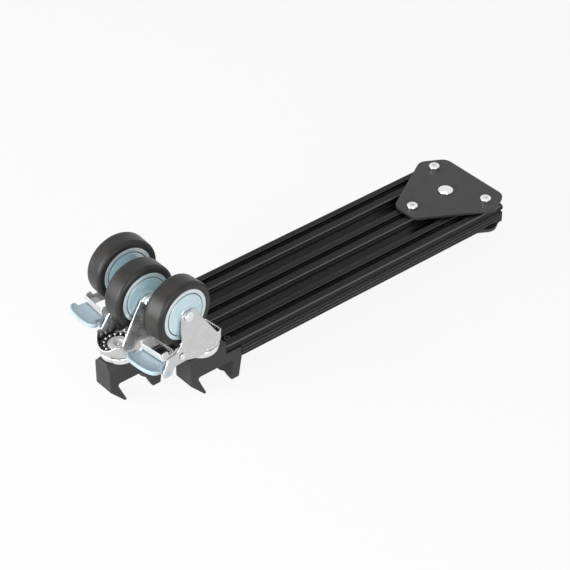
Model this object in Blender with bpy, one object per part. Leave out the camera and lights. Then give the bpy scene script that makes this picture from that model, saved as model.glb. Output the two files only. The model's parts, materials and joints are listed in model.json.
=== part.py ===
"""Folding tripod dolly, folded and lying upside down on its foot cradles.

Metres, +Z up. The origin is on the hub's axis, on the surface that the dolly lies on. The three
legs run from the hub towards -Y. Each leg is built in its own frame, whose origin lies under the
outer end of its cradle and whose +Y points at the hub. Each caster is built in a frame whose origin
is on its swivel axis at the cradle's top, and whose +Y is the direction in which the wheel trails.
"""

import math

import bmesh
import bpy
from mathutils import Matrix, Vector

MM = 0.001

# Driving dimensions of the legs
LEG_REACH = 505 * MM
PIVOT_RADIUS = 50 * MM
PIVOT_OFFSET = 2.4 * MM
OPEN_ANGLE = math.radians(30)
LEG_WIDTH = 27 * MM
RAIL_BOTTOM = 26.6 * MM
RAIL_TOP = 50 * MM
SEAT_GAP = 0.3 * MM
OVERCUT = 1 * MM

# Foot cradle
CRADLE_TOP = 55 * MM
HEAD_LENGTH = 50 * MM
SHOE_LENGTH = 71.2 * MM
SHOE_TOP = 40 * MM
NOSE_HEIGHT = 19.7 * MM
CLAW_TIP_OUTER = 18.2 * MM
CLAW_TIP_INNER = 21.3 * MM
CLAW_ROOT = 9.8 * MM
HOOK_ROOT = 59.5 * MM
HOOK_TIP_INNER = 55.7 * MM
HOOK_TIP_OUTER = 66.6 * MM
PRONG_NOTCH_WIDTH = 17 * MM
PRONG_NOTCH_DEPTH = 4.5 * MM
CRADLE_ROUNDING = 1.6 * MM
CRADLE_BEVEL = 1.2 * MM

# Rail section
RAIL_WALL = 2.6 * MM
BEAD_HEIGHT = 7.5 * MM
BEAD_ROUNDING = 2.6 * MM
GROOVE_HEIGHT = 2.6 * MM
GROOVE_DEPTH = 2.2 * MM
SLOT_WIDTH = 9 * MM
SLOT_DEPTH = 4 * MM
RAIL_TAIL = 14 * MM

# Cradle screws
SCREW_RADIUS = 2.2 * MM
SCREW_HEAD_RADIUS = 3.9 * MM
SCREW_HEAD_HEIGHT = 2.6 * MM
SCREW_GRIP = 9 * MM

# Caster mounting
SWIVEL_INSET = 23.3 * MM
CUP_RADIUS = 23.6 * MM
CUP_HEIGHT = 8.7 * MM
CUP_DRAFT = 1.4 * MM
KINGPIN_RADIUS = 5 * MM
KINGPIN_DEPTH = 22 * MM
KINGPIN_FLANGE_RADIUS = 12.2 * MM
KINGPIN_FLANGE_HEIGHT = 3.2 * MM
KINGPIN_CHAMFER = 1.4 * MM
HEX_SOCKET_RADIUS = 4.6 * MM
HEX_SOCKET_DEPTH = 4 * MM

# Caster fork
FORK_BASE_RADIUS = 24 * MM
FORK_BASE_RIM = 3.4 * MM
FORK_BASE_HEIGHT = 4.2 * MM
FORK_BASE_ROUNDING = 1.8 * MM
SHEET = 1.9 * MM
CHEEK_INNER = 15.2 * MM
CHEEK_FLARE = 4.2 * MM
FLARE_BELOW_AXLE = 10 * MM
FLARE_LOW = 16 * MM
TRAIL = 30 * MM
AXLE_HEIGHT = 68 * MM
CHEEK_CAP = 6.5 * MM
CHEEK_TOP_FRONT = 8 * MM
CHEEK_TOP_REAR = 9.5 * MM
CHEEK_FOOT = 8.5 * MM
CHEEK_FRONT = 10 * MM
CHEEK_FRONT_HEIGHT = 24 * MM
CHEEK_REAR = 12.5 * MM
CHEEK_REAR_HEIGHT = 39 * MM
CHEEK_ROUNDING = 3 * MM
CHEEK_BEVEL = 0.5 * MM
ARM_ABOVE_PIN = 7 * MM
ARM_BELOW_PIN = 9 * MM
ARM_SHOULDER = 7.7 * MM
ARM_ROOT = 21 * MM
ARM_CROOK = 8 * MM
EAR_LENGTH = 7.5 * MM
EAR_WIDTH = 9.5 * MM
EAR_FOOT = 5.2 * MM
BALL_RADIUS = 2 * MM
BALL_CIRCLE = 16.3 * MM
BALL_COUNT = 12
CAGE_RADIUS = 0.8 * MM

# Wheel
WHEEL_RADIUS = 38 * MM
TREAD_WIDTH = 25 * MM
SHOULDER = 3.2 * MM
RIM_RADIUS = 29.7 * MM
RIM_RING = 4.6 * MM
RIM_WEB = 6 * MM
RIM_HUB_RADIUS = 9 * MM
GUARD_GROOVE = 0.9 * MM
GUARD_THICKNESS = 1.6 * MM
AXLE_RADIUS = 4 * MM
AXLE_HEAD_RADIUS = 6.2 * MM
AXLE_HEAD_HEIGHT = 3.4 * MM
AXLE_HEAD_CROWN = 3.7 * MM
NUT_RADIUS = 7.5 * MM
NUT_HEIGHT = 4.6 * MM
THREAD_END = 1.6 * MM

# Brake
PIN_RADIUS = 2.5 * MM
PIN_HEAD_RADIUS = 4 * MM
PIN_HEAD_HEIGHT = 1 * MM
BRAKE_PIN_TRAIL = 43.8 * MM
BRAKE_PIN_BELOW_AXLE = 44 * MM
PEDAL_PIN_TRAIL = 65.3 * MM
PEDAL_PIN_HEIGHT = 13.4 * MM
SHOE_PLATE = 1.4 * MM
SHOE_SIDE_GAP = 0.35 * MM
SHOE_GAP = 1.3 * MM
SHOE_EAR = 4.8 * MM
SHOE_REACH = 7 * MM
SHOE_RISE = 15 * MM
SHOE_OVER_PEDAL = 0.9 * MM
PAD_THICKNESS = 2.6 * MM
PAD_FROM = math.radians(-66)
PAD_TO = math.radians(-46)
SPRING_WIRE = 1.3 * MM
SPRING_COIL_RADIUS = 3.8 * MM
SPRING_TURNS = 5
SPRING_PITCH = 2.1 * MM

# Pedal
PEDAL_LENGTH = 22 * MM
PEDAL_HALF_WIDTH = 24 * MM
PEDAL_THICKNESS = 5 * MM
PEDAL_UNDERSIDE = 15.2 * MM
PEDAL_BARREL_RADIUS = 4.8 * MM
PEDAL_RIM = 2.4 * MM
PEDAL_DISH = 1.2 * MM
PEDAL_WING_START = 11 * MM
PEDAL_WING_ROUNDNESS = 0.7
PEDAL_NOSE_ROUNDNESS = 0.8
TRUNNION_END = 0.8 * MM

# Hub
PLATE_THICKNESS = 4 * MM
PLATE_CORNER_WIDTH = 17 * MM
PLATE_ROUNDING = 13.6 * MM
MIDDLE_BOLT_REACH = 54 * MM
BOLT_RADIUS = 4 * MM
BOLT_HEAD_RADIUS = 6.6 * MM
BOLT_HEAD_HEIGHT = 4 * MM
BUSH_WALL = 2 * MM
STUD_RADIUS = 5 * MM
STUD_HEAD_RADIUS = 9.2 * MM
STUD_DEPTH = 7 * MM
KNOB_RADIUS = 24 * MM
KNOB_LOBES = 5
KNOB_LOBE_DEPTH = 3.2 * MM
KNOB_HEIGHT = 14 * MM
KNOB_BOSS_RADIUS = 11 * MM

# How the side casters stand when the dolly is folded, turned from their legs' own direction
LEFT_YAW = math.radians(176.7)
RIGHT_YAW = math.radians(186)

TYRE_STEPS = 28
ROUND_STEPS = 24
MEDIUM_STEPS = 18
SMALL_STEPS = 12
FINE_STEPS = 10
CORNER_STEPS = 2

MATERIALS = {
    "tyre": ((0.065, 0.062, 0.060), 0.55, 0.0),
    "blue_plastic": ((0.46, 0.62, 0.70), 0.40, 0.0),
    "pressed_steel": ((0.72, 0.72, 0.71), 0.22, 1.0),
    "chrome": ((0.80, 0.80, 0.80), 0.12, 1.0),
    "cradle_plastic": ((0.045, 0.045, 0.046), 0.55, 0.0),
    "black_rail": ((0.018, 0.018, 0.019), 0.38, 0.6),
    "black_plate": ((0.020, 0.020, 0.021), 0.45, 0.4),
    "bush": ((0.30, 0.30, 0.29), 0.50, 0.0),
    "black_screw": ((0.03, 0.03, 0.03), 0.35, 0.8),
}

# Turns a shape drawn as (u, v) and raised along w into one with u along Y, v along Z, w along X
SIDEWAYS = Matrix(((0, 0, 1, 0), (1, 0, 0, 0), (0, 1, 0, 0), (0, 0, 0, 1)))


def clear_scene():
    """Remove every object, so that the script can be run again."""
    for old in list(bpy.data.objects):
        bpy.data.objects.remove(old, do_unlink=True)


def make_material(name):
    """Return the named Principled material, made on its first use."""
    if name in bpy.data.materials:
        return bpy.data.materials[name]
    colour, roughness, metallic = MATERIALS[name]
    material = bpy.data.materials.new(name)
    material.use_nodes = True
    shader = material.node_tree.nodes["Principled BSDF"]
    shader.inputs["Base Color"].default_value = (*colour, 1.0)
    shader.inputs["Roughness"].default_value = roughness
    shader.inputs["Metallic"].default_value = metallic
    return material


def add_empty(name, location=(0, 0, 0), parent=None, yaw=0.0):
    """Add an empty that carries one moving body; its origin lies on that body's joint axis."""
    empty = bpy.data.objects.new(name, None)
    bpy.context.collection.objects.link(empty)
    empty.empty_display_size = 10 * MM
    empty.parent = parent
    empty.location = location
    empty.rotation_euler = (0, 0, yaw)
    return empty


def add_object(name, shape, material, parent, location=(0, 0, 0)):
    """Turn a bmesh into an object in its parent's frame, shaded smooth with its corners sharp."""
    bmesh.ops.recalc_face_normals(shape, faces=shape.faces)
    mesh = bpy.data.meshes.new(name)
    shape.to_mesh(mesh)
    shape.free()
    mesh.shade_smooth()
    mesh.set_sharp_from_angle(angle=math.radians(35))
    mesh.materials.append(make_material(material))
    made = bpy.data.objects.new(name, mesh)
    bpy.context.collection.objects.link(made)
    made.parent = parent
    made.location = location
    return made


def add_boolean(target, name, shape, operation, location=(0, 0, 0)):
    """Cut a shape from an object, or join it, with the shape kept as a hidden guide."""
    guide = add_object(f"{target.name}_{name}", shape, "chrome", target.parent, location)
    guide.hide_render = True
    guide.display_type = "WIRE"
    modifier = target.modifiers.new(name, "BOOLEAN")
    modifier.operation = operation
    modifier.solver = "EXACT"
    modifier.object = guide


def add_bevel(target, width, angle=40, segments=1):
    """Break an object's sharp edges."""
    modifier = target.modifiers.new("edge", "BEVEL")
    modifier.width = width
    modifier.segments = segments
    modifier.limit_method = "ANGLE"
    modifier.angle_limit = math.radians(angle)


def circle(radius, steps=SMALL_STEPS, centre=(0, 0)):
    """Points of a regular polygon round a centre."""
    points = []
    for index in range(steps):
        angle = math.tau * index / steps
        points.append((centre[0] + radius * math.cos(angle), centre[1] + radius * math.sin(angle)))
    return points


def rounded(points, radius, steps=CORNER_STEPS):
    """Replace each corner of an outline by an arc; a corner may be (u, v, its own radius)."""
    outline = []
    count = len(points)
    for index, point in enumerate(points):
        corner = Vector(point[:2])
        size = point[2] if len(point) > 2 else radius
        before = (Vector(points[index - 1][:2]) - corner).normalized()
        after = (Vector(points[(index + 1) % count][:2]) - corner).normalized()
        half = before.angle(after) / 2
        if size <= 0 or half > math.radians(88):
            outline.append(tuple(corner))
            continue
        reach = size / math.tan(half)
        centre = corner + (before + after).normalized() * size / math.sin(half)
        start = corner + before * reach - centre
        end = corner + after * reach - centre
        sweep = start.angle_signed(end)
        for step in range(steps + 1):
            turned_point = Matrix.Rotation(-sweep * step / steps, 2) @ start
            outline.append(tuple(centre + turned_point))
    return outline


def prism(outline, low, high, holes=(), frame=Matrix.Identity(4)):
    """Raise an outline, less its holes, from low to high along its normal."""
    shape = bmesh.new()
    for loop in (outline, *holes):
        corners = [shape.verts.new((u, v, low)) for u, v in loop]
        for index, corner in enumerate(corners):
            shape.edges.new((corners[index - 1], corner))
    bmesh.ops.triangle_fill(shape, use_beauty=True, edges=shape.edges[:])
    raised = bmesh.ops.extrude_face_region(shape, geom=shape.faces[:])
    top = [item for item in raised["geom"] if isinstance(item, bmesh.types.BMVert)]
    bmesh.ops.translate(shape, verts=top, vec=(0, 0, high - low))
    bmesh.ops.transform(shape, matrix=frame, verts=shape.verts)
    return shape


def turned(profile, steps=ROUND_STEPS, frame=Matrix.Identity(4)):
    """Spin a closed (radius, height) profile round the axis; radius 0 points become poles."""
    shape = bmesh.new()
    rings = []
    for radius, height in profile:
        if radius == 0:
            rings.append([shape.verts.new((0, 0, height))] * steps)
        else:
            rings.append([shape.verts.new((x, y, height)) for x, y in circle(radius, steps)])
    for index, ring in enumerate(rings):
        last = rings[index - 1]
        for step in range(steps):
            following = (step + 1) % steps
            corners = [last[step], last[following], ring[following], ring[step]]
            corners = list(dict.fromkeys(corners))
            if len(corners) > 2:
                shape.faces.new(corners)
    bmesh.ops.transform(shape, matrix=frame, verts=shape.verts)
    return shape


def rod(radius, low, high, steps=SMALL_STEPS, frame=Matrix.Identity(4)):
    """A plain round bar along the axis."""
    return turned([(0, low), (radius, low), (radius, high), (0, high)], steps, frame)


def headed_pin(radius, length, head_radius, head_height, steps=SMALL_STEPS, frame=Matrix.Identity(4)):
    """A pin with an equal head at both ends, centred on the origin, its grip as long as given."""
    half = length / 2
    end = half + head_height
    profile = [
        (0, -end),
        (head_radius, -end),
        (head_radius, -half),
        (radius, -half),
        (radius, half),
        (head_radius, half),
        (head_radius, end),
        (0, end),
    ]
    return turned(profile, steps, frame)


def moved(shape, offset):
    """Shift a shape and return it."""
    bmesh.ops.translate(shape, verts=shape.verts, vec=offset)
    return shape


def screw_place():
    """Where the cradle's screw stands along the leg: half way along the shoe under the rail."""
    return (HEAD_LENGTH + SHOE_LENGTH) / 2


def make_cradle(side, leg):
    """Foot block: a head under the caster and a shoe under the rail, with two hooked claws."""
    outline = rounded(
        [
            (0, CRADLE_TOP),
            (0, NOSE_HEIGHT),
            (CLAW_TIP_OUTER, 0, 0),
            (CLAW_TIP_INNER, 0, 0),
            (CLAW_ROOT, RAIL_BOTTOM),
            (HOOK_ROOT, RAIL_BOTTOM),
            (HOOK_TIP_INNER, 0, 0),
            (HOOK_TIP_OUTER, 0, 0),
            (SHOE_LENGTH, RAIL_BOTTOM, 0),
            (SHOE_LENGTH, SHOE_TOP, 0),
            (HEAD_LENGTH, SHOE_TOP, 0),
            (HEAD_LENGTH, CRADLE_TOP, 0),
        ],
        radius=CRADLE_ROUNDING,
    )
    half = LEG_WIDTH / 2
    cradle = add_object(f"{side}_cradle", prism(outline, -half, half, frame=SIDEWAYS), "cradle_plastic", leg)
    notch_foot = PRONG_NOTCH_WIDTH / 2
    notch = [(-notch_foot, -OVERCUT), (notch_foot, -OVERCUT), (0, PRONG_NOTCH_DEPTH)]
    along = Matrix.Rotation(math.radians(90), 4, "X")
    add_boolean(cradle, "prongs", prism(notch, -2 * SHOE_LENGTH, SHOE_LENGTH, frame=along), "DIFFERENCE")
    bore = rod(KINGPIN_RADIUS + SEAT_GAP, CRADLE_TOP - KINGPIN_DEPTH - SEAT_GAP, CRADLE_TOP + OVERCUT)
    add_boolean(cradle, "kingpin_bore", moved(bore, (0, SWIVEL_INSET, 0)), "DIFFERENCE")
    low = SHOE_TOP - SCREW_GRIP - SEAT_GAP
    bore = rod(SCREW_RADIUS + SEAT_GAP, low, SHOE_TOP + OVERCUT, FINE_STEPS)
    add_boolean(cradle, "screw_bore", moved(bore, (0, screw_place(), 0)), "DIFFERENCE")
    add_bevel(cradle, CRADLE_BEVEL)


def rail_section():
    """Outline of the extruded rail and of the chamber inside it, as (across, height)."""
    half = LEG_WIDTH / 2
    bead_low = RAIL_TOP - BEAD_HEIGHT
    groove_low = bead_low - GROOVE_HEIGHT
    slot = SLOT_WIDTH / 2
    outline = rounded(
        [
            (-half, RAIL_BOTTOM, 0),
            (half, RAIL_BOTTOM, 0),
            (half, groove_low, 0),
            (half - GROOVE_DEPTH, groove_low, 0),
            (half - GROOVE_DEPTH, bead_low, 0),
            (half, bead_low, BEAD_ROUNDING),
            (half, RAIL_TOP, BEAD_ROUNDING),
            (slot, RAIL_TOP, 0),
            (slot, RAIL_TOP - SLOT_DEPTH, 0),
            (-slot, RAIL_TOP - SLOT_DEPTH, 0),
            (-slot, RAIL_TOP, 0),
            (-half, RAIL_TOP, BEAD_ROUNDING),
            (-half, bead_low, BEAD_ROUNDING),
            (-half + GROOVE_DEPTH, bead_low, 0),
            (-half + GROOVE_DEPTH, groove_low, 0),
            (-half, groove_low, 0),
        ],
        radius=0,
    )
    inside = half - GROOVE_DEPTH - RAIL_WALL
    low = RAIL_BOTTOM + RAIL_WALL
    high = RAIL_TOP - SLOT_DEPTH - RAIL_WALL
    chamber = [(-inside, low), (inside, low), (inside, high), (-inside, high)]
    return outline, chamber


def make_rail(side, leg, length, bores):
    """Extruded rail from the cradle's head to the hub, cut back over the shoe, with its bores."""
    outline, chamber = rail_section()
    lengthwise = Matrix(((1, 0, 0, 0), (0, 0, 1, 0), (0, 1, 0, 0), (0, 0, 0, 1)))
    start = HEAD_LENGTH + SEAT_GAP
    shape = prism(outline, start, length, [chamber], frame=lengthwise)
    rail = add_object(f"{side}_rail", shape, "black_rail", leg)
    shoe_end = SHOE_LENGTH + SEAT_GAP
    shoe_top = SHOE_TOP + SEAT_GAP
    shoe = [(0, 0), (shoe_end, 0), (shoe_end, shoe_top), (0, shoe_top)]
    add_boolean(rail, "shoe_cut", prism(shoe, -LEG_WIDTH, LEG_WIDTH, frame=SIDEWAYS), "DIFFERENCE")
    bore = rod(SCREW_RADIUS + SEAT_GAP, SHOE_TOP, RAIL_TOP, FINE_STEPS)
    add_boolean(rail, "screw_bore", moved(bore, (0, screw_place(), 0)), "DIFFERENCE")
    for number, (across, place, radius) in enumerate(bores):
        bore = rod(radius + SEAT_GAP, RAIL_BOTTOM - OVERCUT, RAIL_TOP + OVERCUT)
        add_boolean(rail, f"hub_bore_{number}", moved(bore, (across, place, 0)), "DIFFERENCE")


def make_cradle_screw(side, leg):
    """The screw through the rail's slot into the cradle's shoe."""
    seat = RAIL_TOP - SLOT_DEPTH + SEAT_GAP
    profile = [
        (0, SHOE_TOP - SCREW_GRIP),
        (SCREW_RADIUS, SHOE_TOP - SCREW_GRIP),
        (SCREW_RADIUS, seat),
        (SCREW_HEAD_RADIUS, seat),
        (SCREW_HEAD_RADIUS, seat + SCREW_HEAD_HEIGHT),
        (0, seat + SCREW_HEAD_HEIGHT),
    ]
    screw = turned(profile, FINE_STEPS)
    add_object(f"{side}_cradle_screw", screw, "black_screw", leg, (0, screw_place(), 0))


def fork_seat():
    """Height of the fork base's underside over the cradle's top."""
    return SEAT_GAP + CUP_HEIGHT + 2 * SEAT_GAP


def fork_floor():
    """Height of the upper side of the fork's base plate."""
    return fork_seat() + SHEET


def make_caster_mount(side, leg):
    """Cup under the fork and the kingpin whose flange holds the fork down on it."""
    place = (0, SWIVEL_INSET, CRADLE_TOP)
    bore = KINGPIN_RADIUS + SEAT_GAP
    low = SEAT_GAP
    high = low + CUP_HEIGHT
    cup = [
        (bore, low),
        (CUP_RADIUS - CUP_DRAFT, low),
        (CUP_RADIUS, low + CUP_DRAFT),
        (CUP_RADIUS, high),
        (bore, high),
    ]
    add_object(f"{side}_caster_cup", turned(cup), "chrome", leg, place)
    seat = fork_floor() + SEAT_GAP
    top = seat + KINGPIN_FLANGE_HEIGHT
    pin = [
        (0, -KINGPIN_DEPTH),
        (KINGPIN_RADIUS, -KINGPIN_DEPTH),
        (KINGPIN_RADIUS, seat),
        (KINGPIN_FLANGE_RADIUS, seat),
        (KINGPIN_FLANGE_RADIUS, top - KINGPIN_CHAMFER),
        (KINGPIN_FLANGE_RADIUS - KINGPIN_CHAMFER, top),
        (0, top),
    ]
    kingpin = add_object(f"{side}_kingpin", turned(pin, MEDIUM_STEPS), "chrome", leg, place)
    socket = prism(circle(HEX_SOCKET_RADIUS, 6), top - HEX_SOCKET_DEPTH, top + OVERCUT)
    add_boolean(kingpin, "hex_socket", socket, "DIFFERENCE", place)


def brake_pin_height():
    """Height of the brake shoe's pin over the cradle's top: a set way below the axle."""
    return AXLE_HEIGHT - BRAKE_PIN_BELOW_AXLE


def flare_top():
    """Height above which the cheeks stand upright, clear of the bolt's head and the nut."""
    return AXLE_HEIGHT - FLARE_BELOW_AXLE


def flare(height):
    """How far a cheek stands out at a height, over its place at the axle."""
    share = (flare_top() - height) / (flare_top() - FLARE_LOW)
    return CHEEK_FLARE * min(max(share, 0.0), 1.0)


def cheek_inner(height):
    """Inner face of a cheek at a height over the cradle's top."""
    return CHEEK_INNER + flare(height)


def flare_out(shape, pin_height=0.0):
    """Bend a shape that is drawn with upright sides, so that it follows the cheeks."""
    for vert in shape.verts:
        vert.co.x += math.copysign(flare(vert.co.z + pin_height), vert.co.x)
    return shape


def cheek_outline():
    """Side view of one cheek with its pedal arm, as (trail, height) over the cradle's top."""
    top = AXLE_HEIGHT + CHEEK_CAP
    root = fork_seat() + CHEEK_BEVEL
    arm_top = brake_pin_height() + ARM_ABOVE_PIN
    ear_foot = PEDAL_PIN_HEIGHT - EAR_FOOT
    return rounded(
        [
            (-CHEEK_FOOT, root, 0),
            (-CHEEK_FRONT, CHEEK_FRONT_HEIGHT),
            (TRAIL - CHEEK_TOP_FRONT, top),
            (TRAIL + CHEEK_TOP_REAR, top),
            (TRAIL + CHEEK_REAR, CHEEK_REAR_HEIGHT, ARM_CROOK),
            (BRAKE_PIN_TRAIL + ARM_SHOULDER, arm_top),
            (PEDAL_PIN_TRAIL - EAR_LENGTH / 3, arm_top),
            (PEDAL_PIN_TRAIL + EAR_LENGTH, PEDAL_PIN_HEIGHT + PIN_RADIUS),
            (PEDAL_PIN_TRAIL + EAR_FOOT, ear_foot),
            (PEDAL_PIN_TRAIL - EAR_FOOT, ear_foot),
            (PEDAL_PIN_TRAIL - EAR_WIDTH, PEDAL_PIN_HEIGHT + PIN_RADIUS),
            (BRAKE_PIN_TRAIL - PIN_HEAD_RADIUS, brake_pin_height() - ARM_BELOW_PIN),
            (ARM_ROOT, root, 0),
        ],
        radius=CHEEK_ROUNDING,
    )


def make_cheek(sign):
    """One cheek: upright at the axle, leaning out towards the base and the pedal's pin."""
    near, far = sign * CHEEK_INNER, sign * (CHEEK_INNER + SHEET)
    holes = [
        circle(AXLE_RADIUS + SEAT_GAP, FINE_STEPS, (TRAIL, AXLE_HEIGHT)),
        circle(PIN_RADIUS + SEAT_GAP, FINE_STEPS, (BRAKE_PIN_TRAIL, brake_pin_height())),
        circle(PIN_RADIUS + SEAT_GAP, FINE_STEPS, (PEDAL_PIN_TRAIL, PEDAL_PIN_HEIGHT)),
    ]
    cheek = prism(cheek_outline(), min(near, far), max(near, far), holes, frame=SIDEWAYS)
    for bend in (FLARE_LOW, flare_top()):
        everything = cheek.verts[:] + cheek.edges[:] + cheek.faces[:]
        bmesh.ops.bisect_plane(cheek, geom=everything, plane_co=(0, 0, bend), plane_no=(0, 0, 1), dist=1e-6)
    return flare_out(cheek)


def make_fork(side, caster):
    """Pressed fork: a dished round base that turns on the cup, and two cheeks with pedal arms."""
    low = fork_seat()
    well = FORK_BASE_RADIUS - FORK_BASE_RIM
    top = low + FORK_BASE_HEIGHT
    bore = KINGPIN_RADIUS + SEAT_GAP
    base = [
        (bore, low),
        (FORK_BASE_RADIUS, low),
        (FORK_BASE_RADIUS, top - FORK_BASE_ROUNDING),
        (FORK_BASE_RADIUS - FORK_BASE_ROUNDING, top),
        (well, top),
        (well, fork_floor()),
        (bore, fork_floor()),
    ]
    fork = add_object(f"{side}_fork", turned(base), "pressed_steel", caster)
    for name, sign in (("near_cheek", 1), ("far_cheek", -1)):
        add_boolean(fork, name, make_cheek(sign), "UNION")


def make_swivel_bearing(side, caster):
    """Ring of balls in their cage: a closed tube that swells to a ball's radius at each ball."""
    place = (0, 0, fork_floor() + SEAT_GAP + BALL_RADIUS)
    per_ball = 4
    count = BALL_COUNT * per_ball
    sides = 5
    ring = bmesh.new()
    sections = []
    for index in range(count):
        swell = abs(1 - 2 * (index % per_ball) / per_ball)
        radius = CAGE_RADIUS + (BALL_RADIUS - CAGE_RADIUS) * swell
        turn = Matrix.Rotation(math.tau * index / count, 3, "Z")
        section = []
        for across, height in circle(radius, sides):
            section.append(ring.verts.new(turn @ Vector((BALL_CIRCLE + across, 0, height))))
        sections.append(section)
    for index, section in enumerate(sections):
        last = sections[index - 1]
        for step in range(sides):
            following = (step + 1) % sides
            ring.faces.new((last[step], last[following], section[following], section[step]))
    add_object(f"{side}_swivel_bearing", ring, "chrome", caster, place)


def make_axle(side, caster):
    """Axle bolt with its head outside one cheek, and the nut outside the other."""
    place = (0, TRAIL, AXLE_HEIGHT)
    face = CHEEK_INNER + SHEET + SEAT_GAP
    end = face + NUT_HEIGHT + THREAD_END
    head = -face - AXLE_HEAD_HEIGHT
    bolt = [
        (0, head),
        (AXLE_HEAD_CROWN, head),
        (AXLE_HEAD_RADIUS, head + AXLE_HEAD_HEIGHT / 2),
        (AXLE_HEAD_RADIUS, -face),
        (AXLE_RADIUS, -face),
        (AXLE_RADIUS, end),
        (0, end),
    ]
    add_object(f"{side}_axle_bolt", turned(bolt, SMALL_STEPS, SIDEWAYS), "chrome", caster, place)
    bore = circle(AXLE_RADIUS + SEAT_GAP)
    nut = prism(circle(NUT_RADIUS, 6), face, face + NUT_HEIGHT, [bore], frame=SIDEWAYS)
    add_object(f"{side}_axle_nut", nut, "chrome", caster, place)


def make_wheel(side, wheel):
    """Plastic rim with a hub and web, and the rubber tyre round it."""
    half = TREAD_WIDTH / 2
    ring = RIM_RADIUS - RIM_RING
    web = RIM_WEB / 2
    bore = AXLE_RADIUS + SEAT_GAP
    hub = half - GUARD_THICKNESS + GUARD_GROOVE / 2
    rim = [
        (bore, -hub),
        (RIM_HUB_RADIUS, -hub),
        (ring, -web),
        (ring, -half),
        (RIM_RADIUS, -half),
        (RIM_RADIUS, half),
        (ring, half),
        (ring, web),
        (RIM_HUB_RADIUS, hub),
        (bore, hub),
    ]
    add_object(f"{side}_rim", turned(rim, frame=SIDEWAYS), "blue_plastic", wheel)
    inner = RIM_RADIUS + SEAT_GAP
    crown = SHOULDER / 3
    tyre = [
        (inner, -half),
        (WHEEL_RADIUS - SHOULDER, -half),
        (WHEEL_RADIUS - crown, -half + SHOULDER / 2),
        (WHEEL_RADIUS, -half + SHOULDER + crown),
        (WHEEL_RADIUS, half - SHOULDER - crown),
        (WHEEL_RADIUS - crown, half - SHOULDER / 2),
        (WHEEL_RADIUS - SHOULDER, half),
        (inner, half),
    ]
    add_object(f"{side}_tyre", turned(tyre, TYRE_STEPS, SIDEWAYS), "tyre", wheel)


def make_thread_guards(side, caster):
    """Two cover discs on the axle, one each side, that close the rim's open faces."""
    radius = RIM_RADIUS - RIM_RING - GUARD_GROOVE
    bore = AXLE_RADIUS + SEAT_GAP
    outer = TREAD_WIDTH / 2 + GUARD_THICKNESS / 2
    inner = outer - GUARD_THICKNESS + GUARD_GROOVE / 2
    boss = CHEEK_INNER - SEAT_GAP
    place = (0, TRAIL, AXLE_HEIGHT)
    for name, sign in (("head_side_guard", -1), ("nut_side_guard", 1)):
        profile = [
            (bore, sign * inner),
            (radius, sign * inner),
            (radius, sign * outer),
            (RIM_HUB_RADIUS, sign * outer),
            (RIM_HUB_RADIUS, sign * boss),
            (bore, sign * boss),
        ]
        guard = turned(profile, frame=SIDEWAYS)
        add_object(f"{side}_{name}", guard, "blue_plastic", caster, place)


def make_brake_pin(side, caster):
    """Riveted pin of the brake shoe, through both cheeks."""
    grip = 2 * (cheek_inner(brake_pin_height() - PIN_HEAD_RADIUS) + SHEET + SEAT_GAP)
    pin = headed_pin(PIN_RADIUS, grip, PIN_HEAD_RADIUS, PIN_HEAD_HEIGHT, FINE_STEPS, SIDEWAYS)
    add_object(f"{side}_brake_pin", pin, "chrome", caster, (0, BRAKE_PIN_TRAIL, brake_pin_height()))


def make_brake_shoe(side, shoe):
    """Channel-shaped lever on the brake pin: side plates, a curved pad at the tread, a web."""
    outer = CHEEK_INNER - SHOE_SIDE_GAP
    inner = outer - SHOE_PLATE
    rear = PEDAL_PIN_TRAIL + SHOE_REACH - BRAKE_PIN_TRAIL
    low = PEDAL_UNDERSIDE + PEDAL_THICKNESS + SHOE_OVER_PEDAL - brake_pin_height()
    plate = rounded(
        [
            (-SHOE_EAR, -SHOE_EAR, SHOE_EAR / 2),
            (SHOE_EAR, -SHOE_EAR),
            (rear - SHOE_EAR, low + SHOE_PLATE),
            (rear, low + SHOE_EAR),
            (rear, SHOE_RISE),
            (2 * SHOE_EAR, SHOE_RISE),
            (-SHOE_EAR, SHOE_EAR, SHOE_EAR / 2),
        ],
        radius=SHOE_PLATE,
    )
    hole = circle(PIN_RADIUS + SEAT_GAP, FINE_STEPS)
    first = flare_out(prism(plate, -outer, -inner, [hole], frame=SIDEWAYS), brake_pin_height())
    lever = add_object(f"{side}_brake_shoe", first, "chrome", shoe)
    second = flare_out(prism(plate, inner, outer, [hole], frame=SIDEWAYS), brake_pin_height())
    add_boolean(lever, "second_plate", second, "UNION")
    middle = inner + SHOE_PLATE / 2
    web_high = SHOE_RISE - 2 * SHOE_PLATE
    inset = CHEEK_BEVEL / 2
    web = [
        (rear - SHOE_PLATE, low),
        (rear - inset, low),
        (rear - inset, web_high),
        (rear - SHOE_PLATE, web_high),
    ]
    cross = flare_out(prism(web, -middle, middle, frame=SIDEWAYS), brake_pin_height())
    add_boolean(lever, "web", cross, "UNION")
    centre = (TRAIL - BRAKE_PIN_TRAIL, BRAKE_PIN_BELOW_AXLE)
    near = WHEEL_RADIUS + SHOE_GAP
    arc_steps = 4
    pad = []
    for radius, order in ((near, range(arc_steps)), (near + PAD_THICKNESS, reversed(range(arc_steps)))):
        for step in order:
            angle = PAD_FROM + (PAD_TO - PAD_FROM) * step / (arc_steps - 1)
            pad.append((centre[0] + radius * math.cos(angle), centre[1] + radius * math.sin(angle)))
    block = flare_out(prism(pad, -middle, middle, frame=SIDEWAYS), brake_pin_height())
    add_boolean(lever, "pad", block, "UNION")


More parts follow.
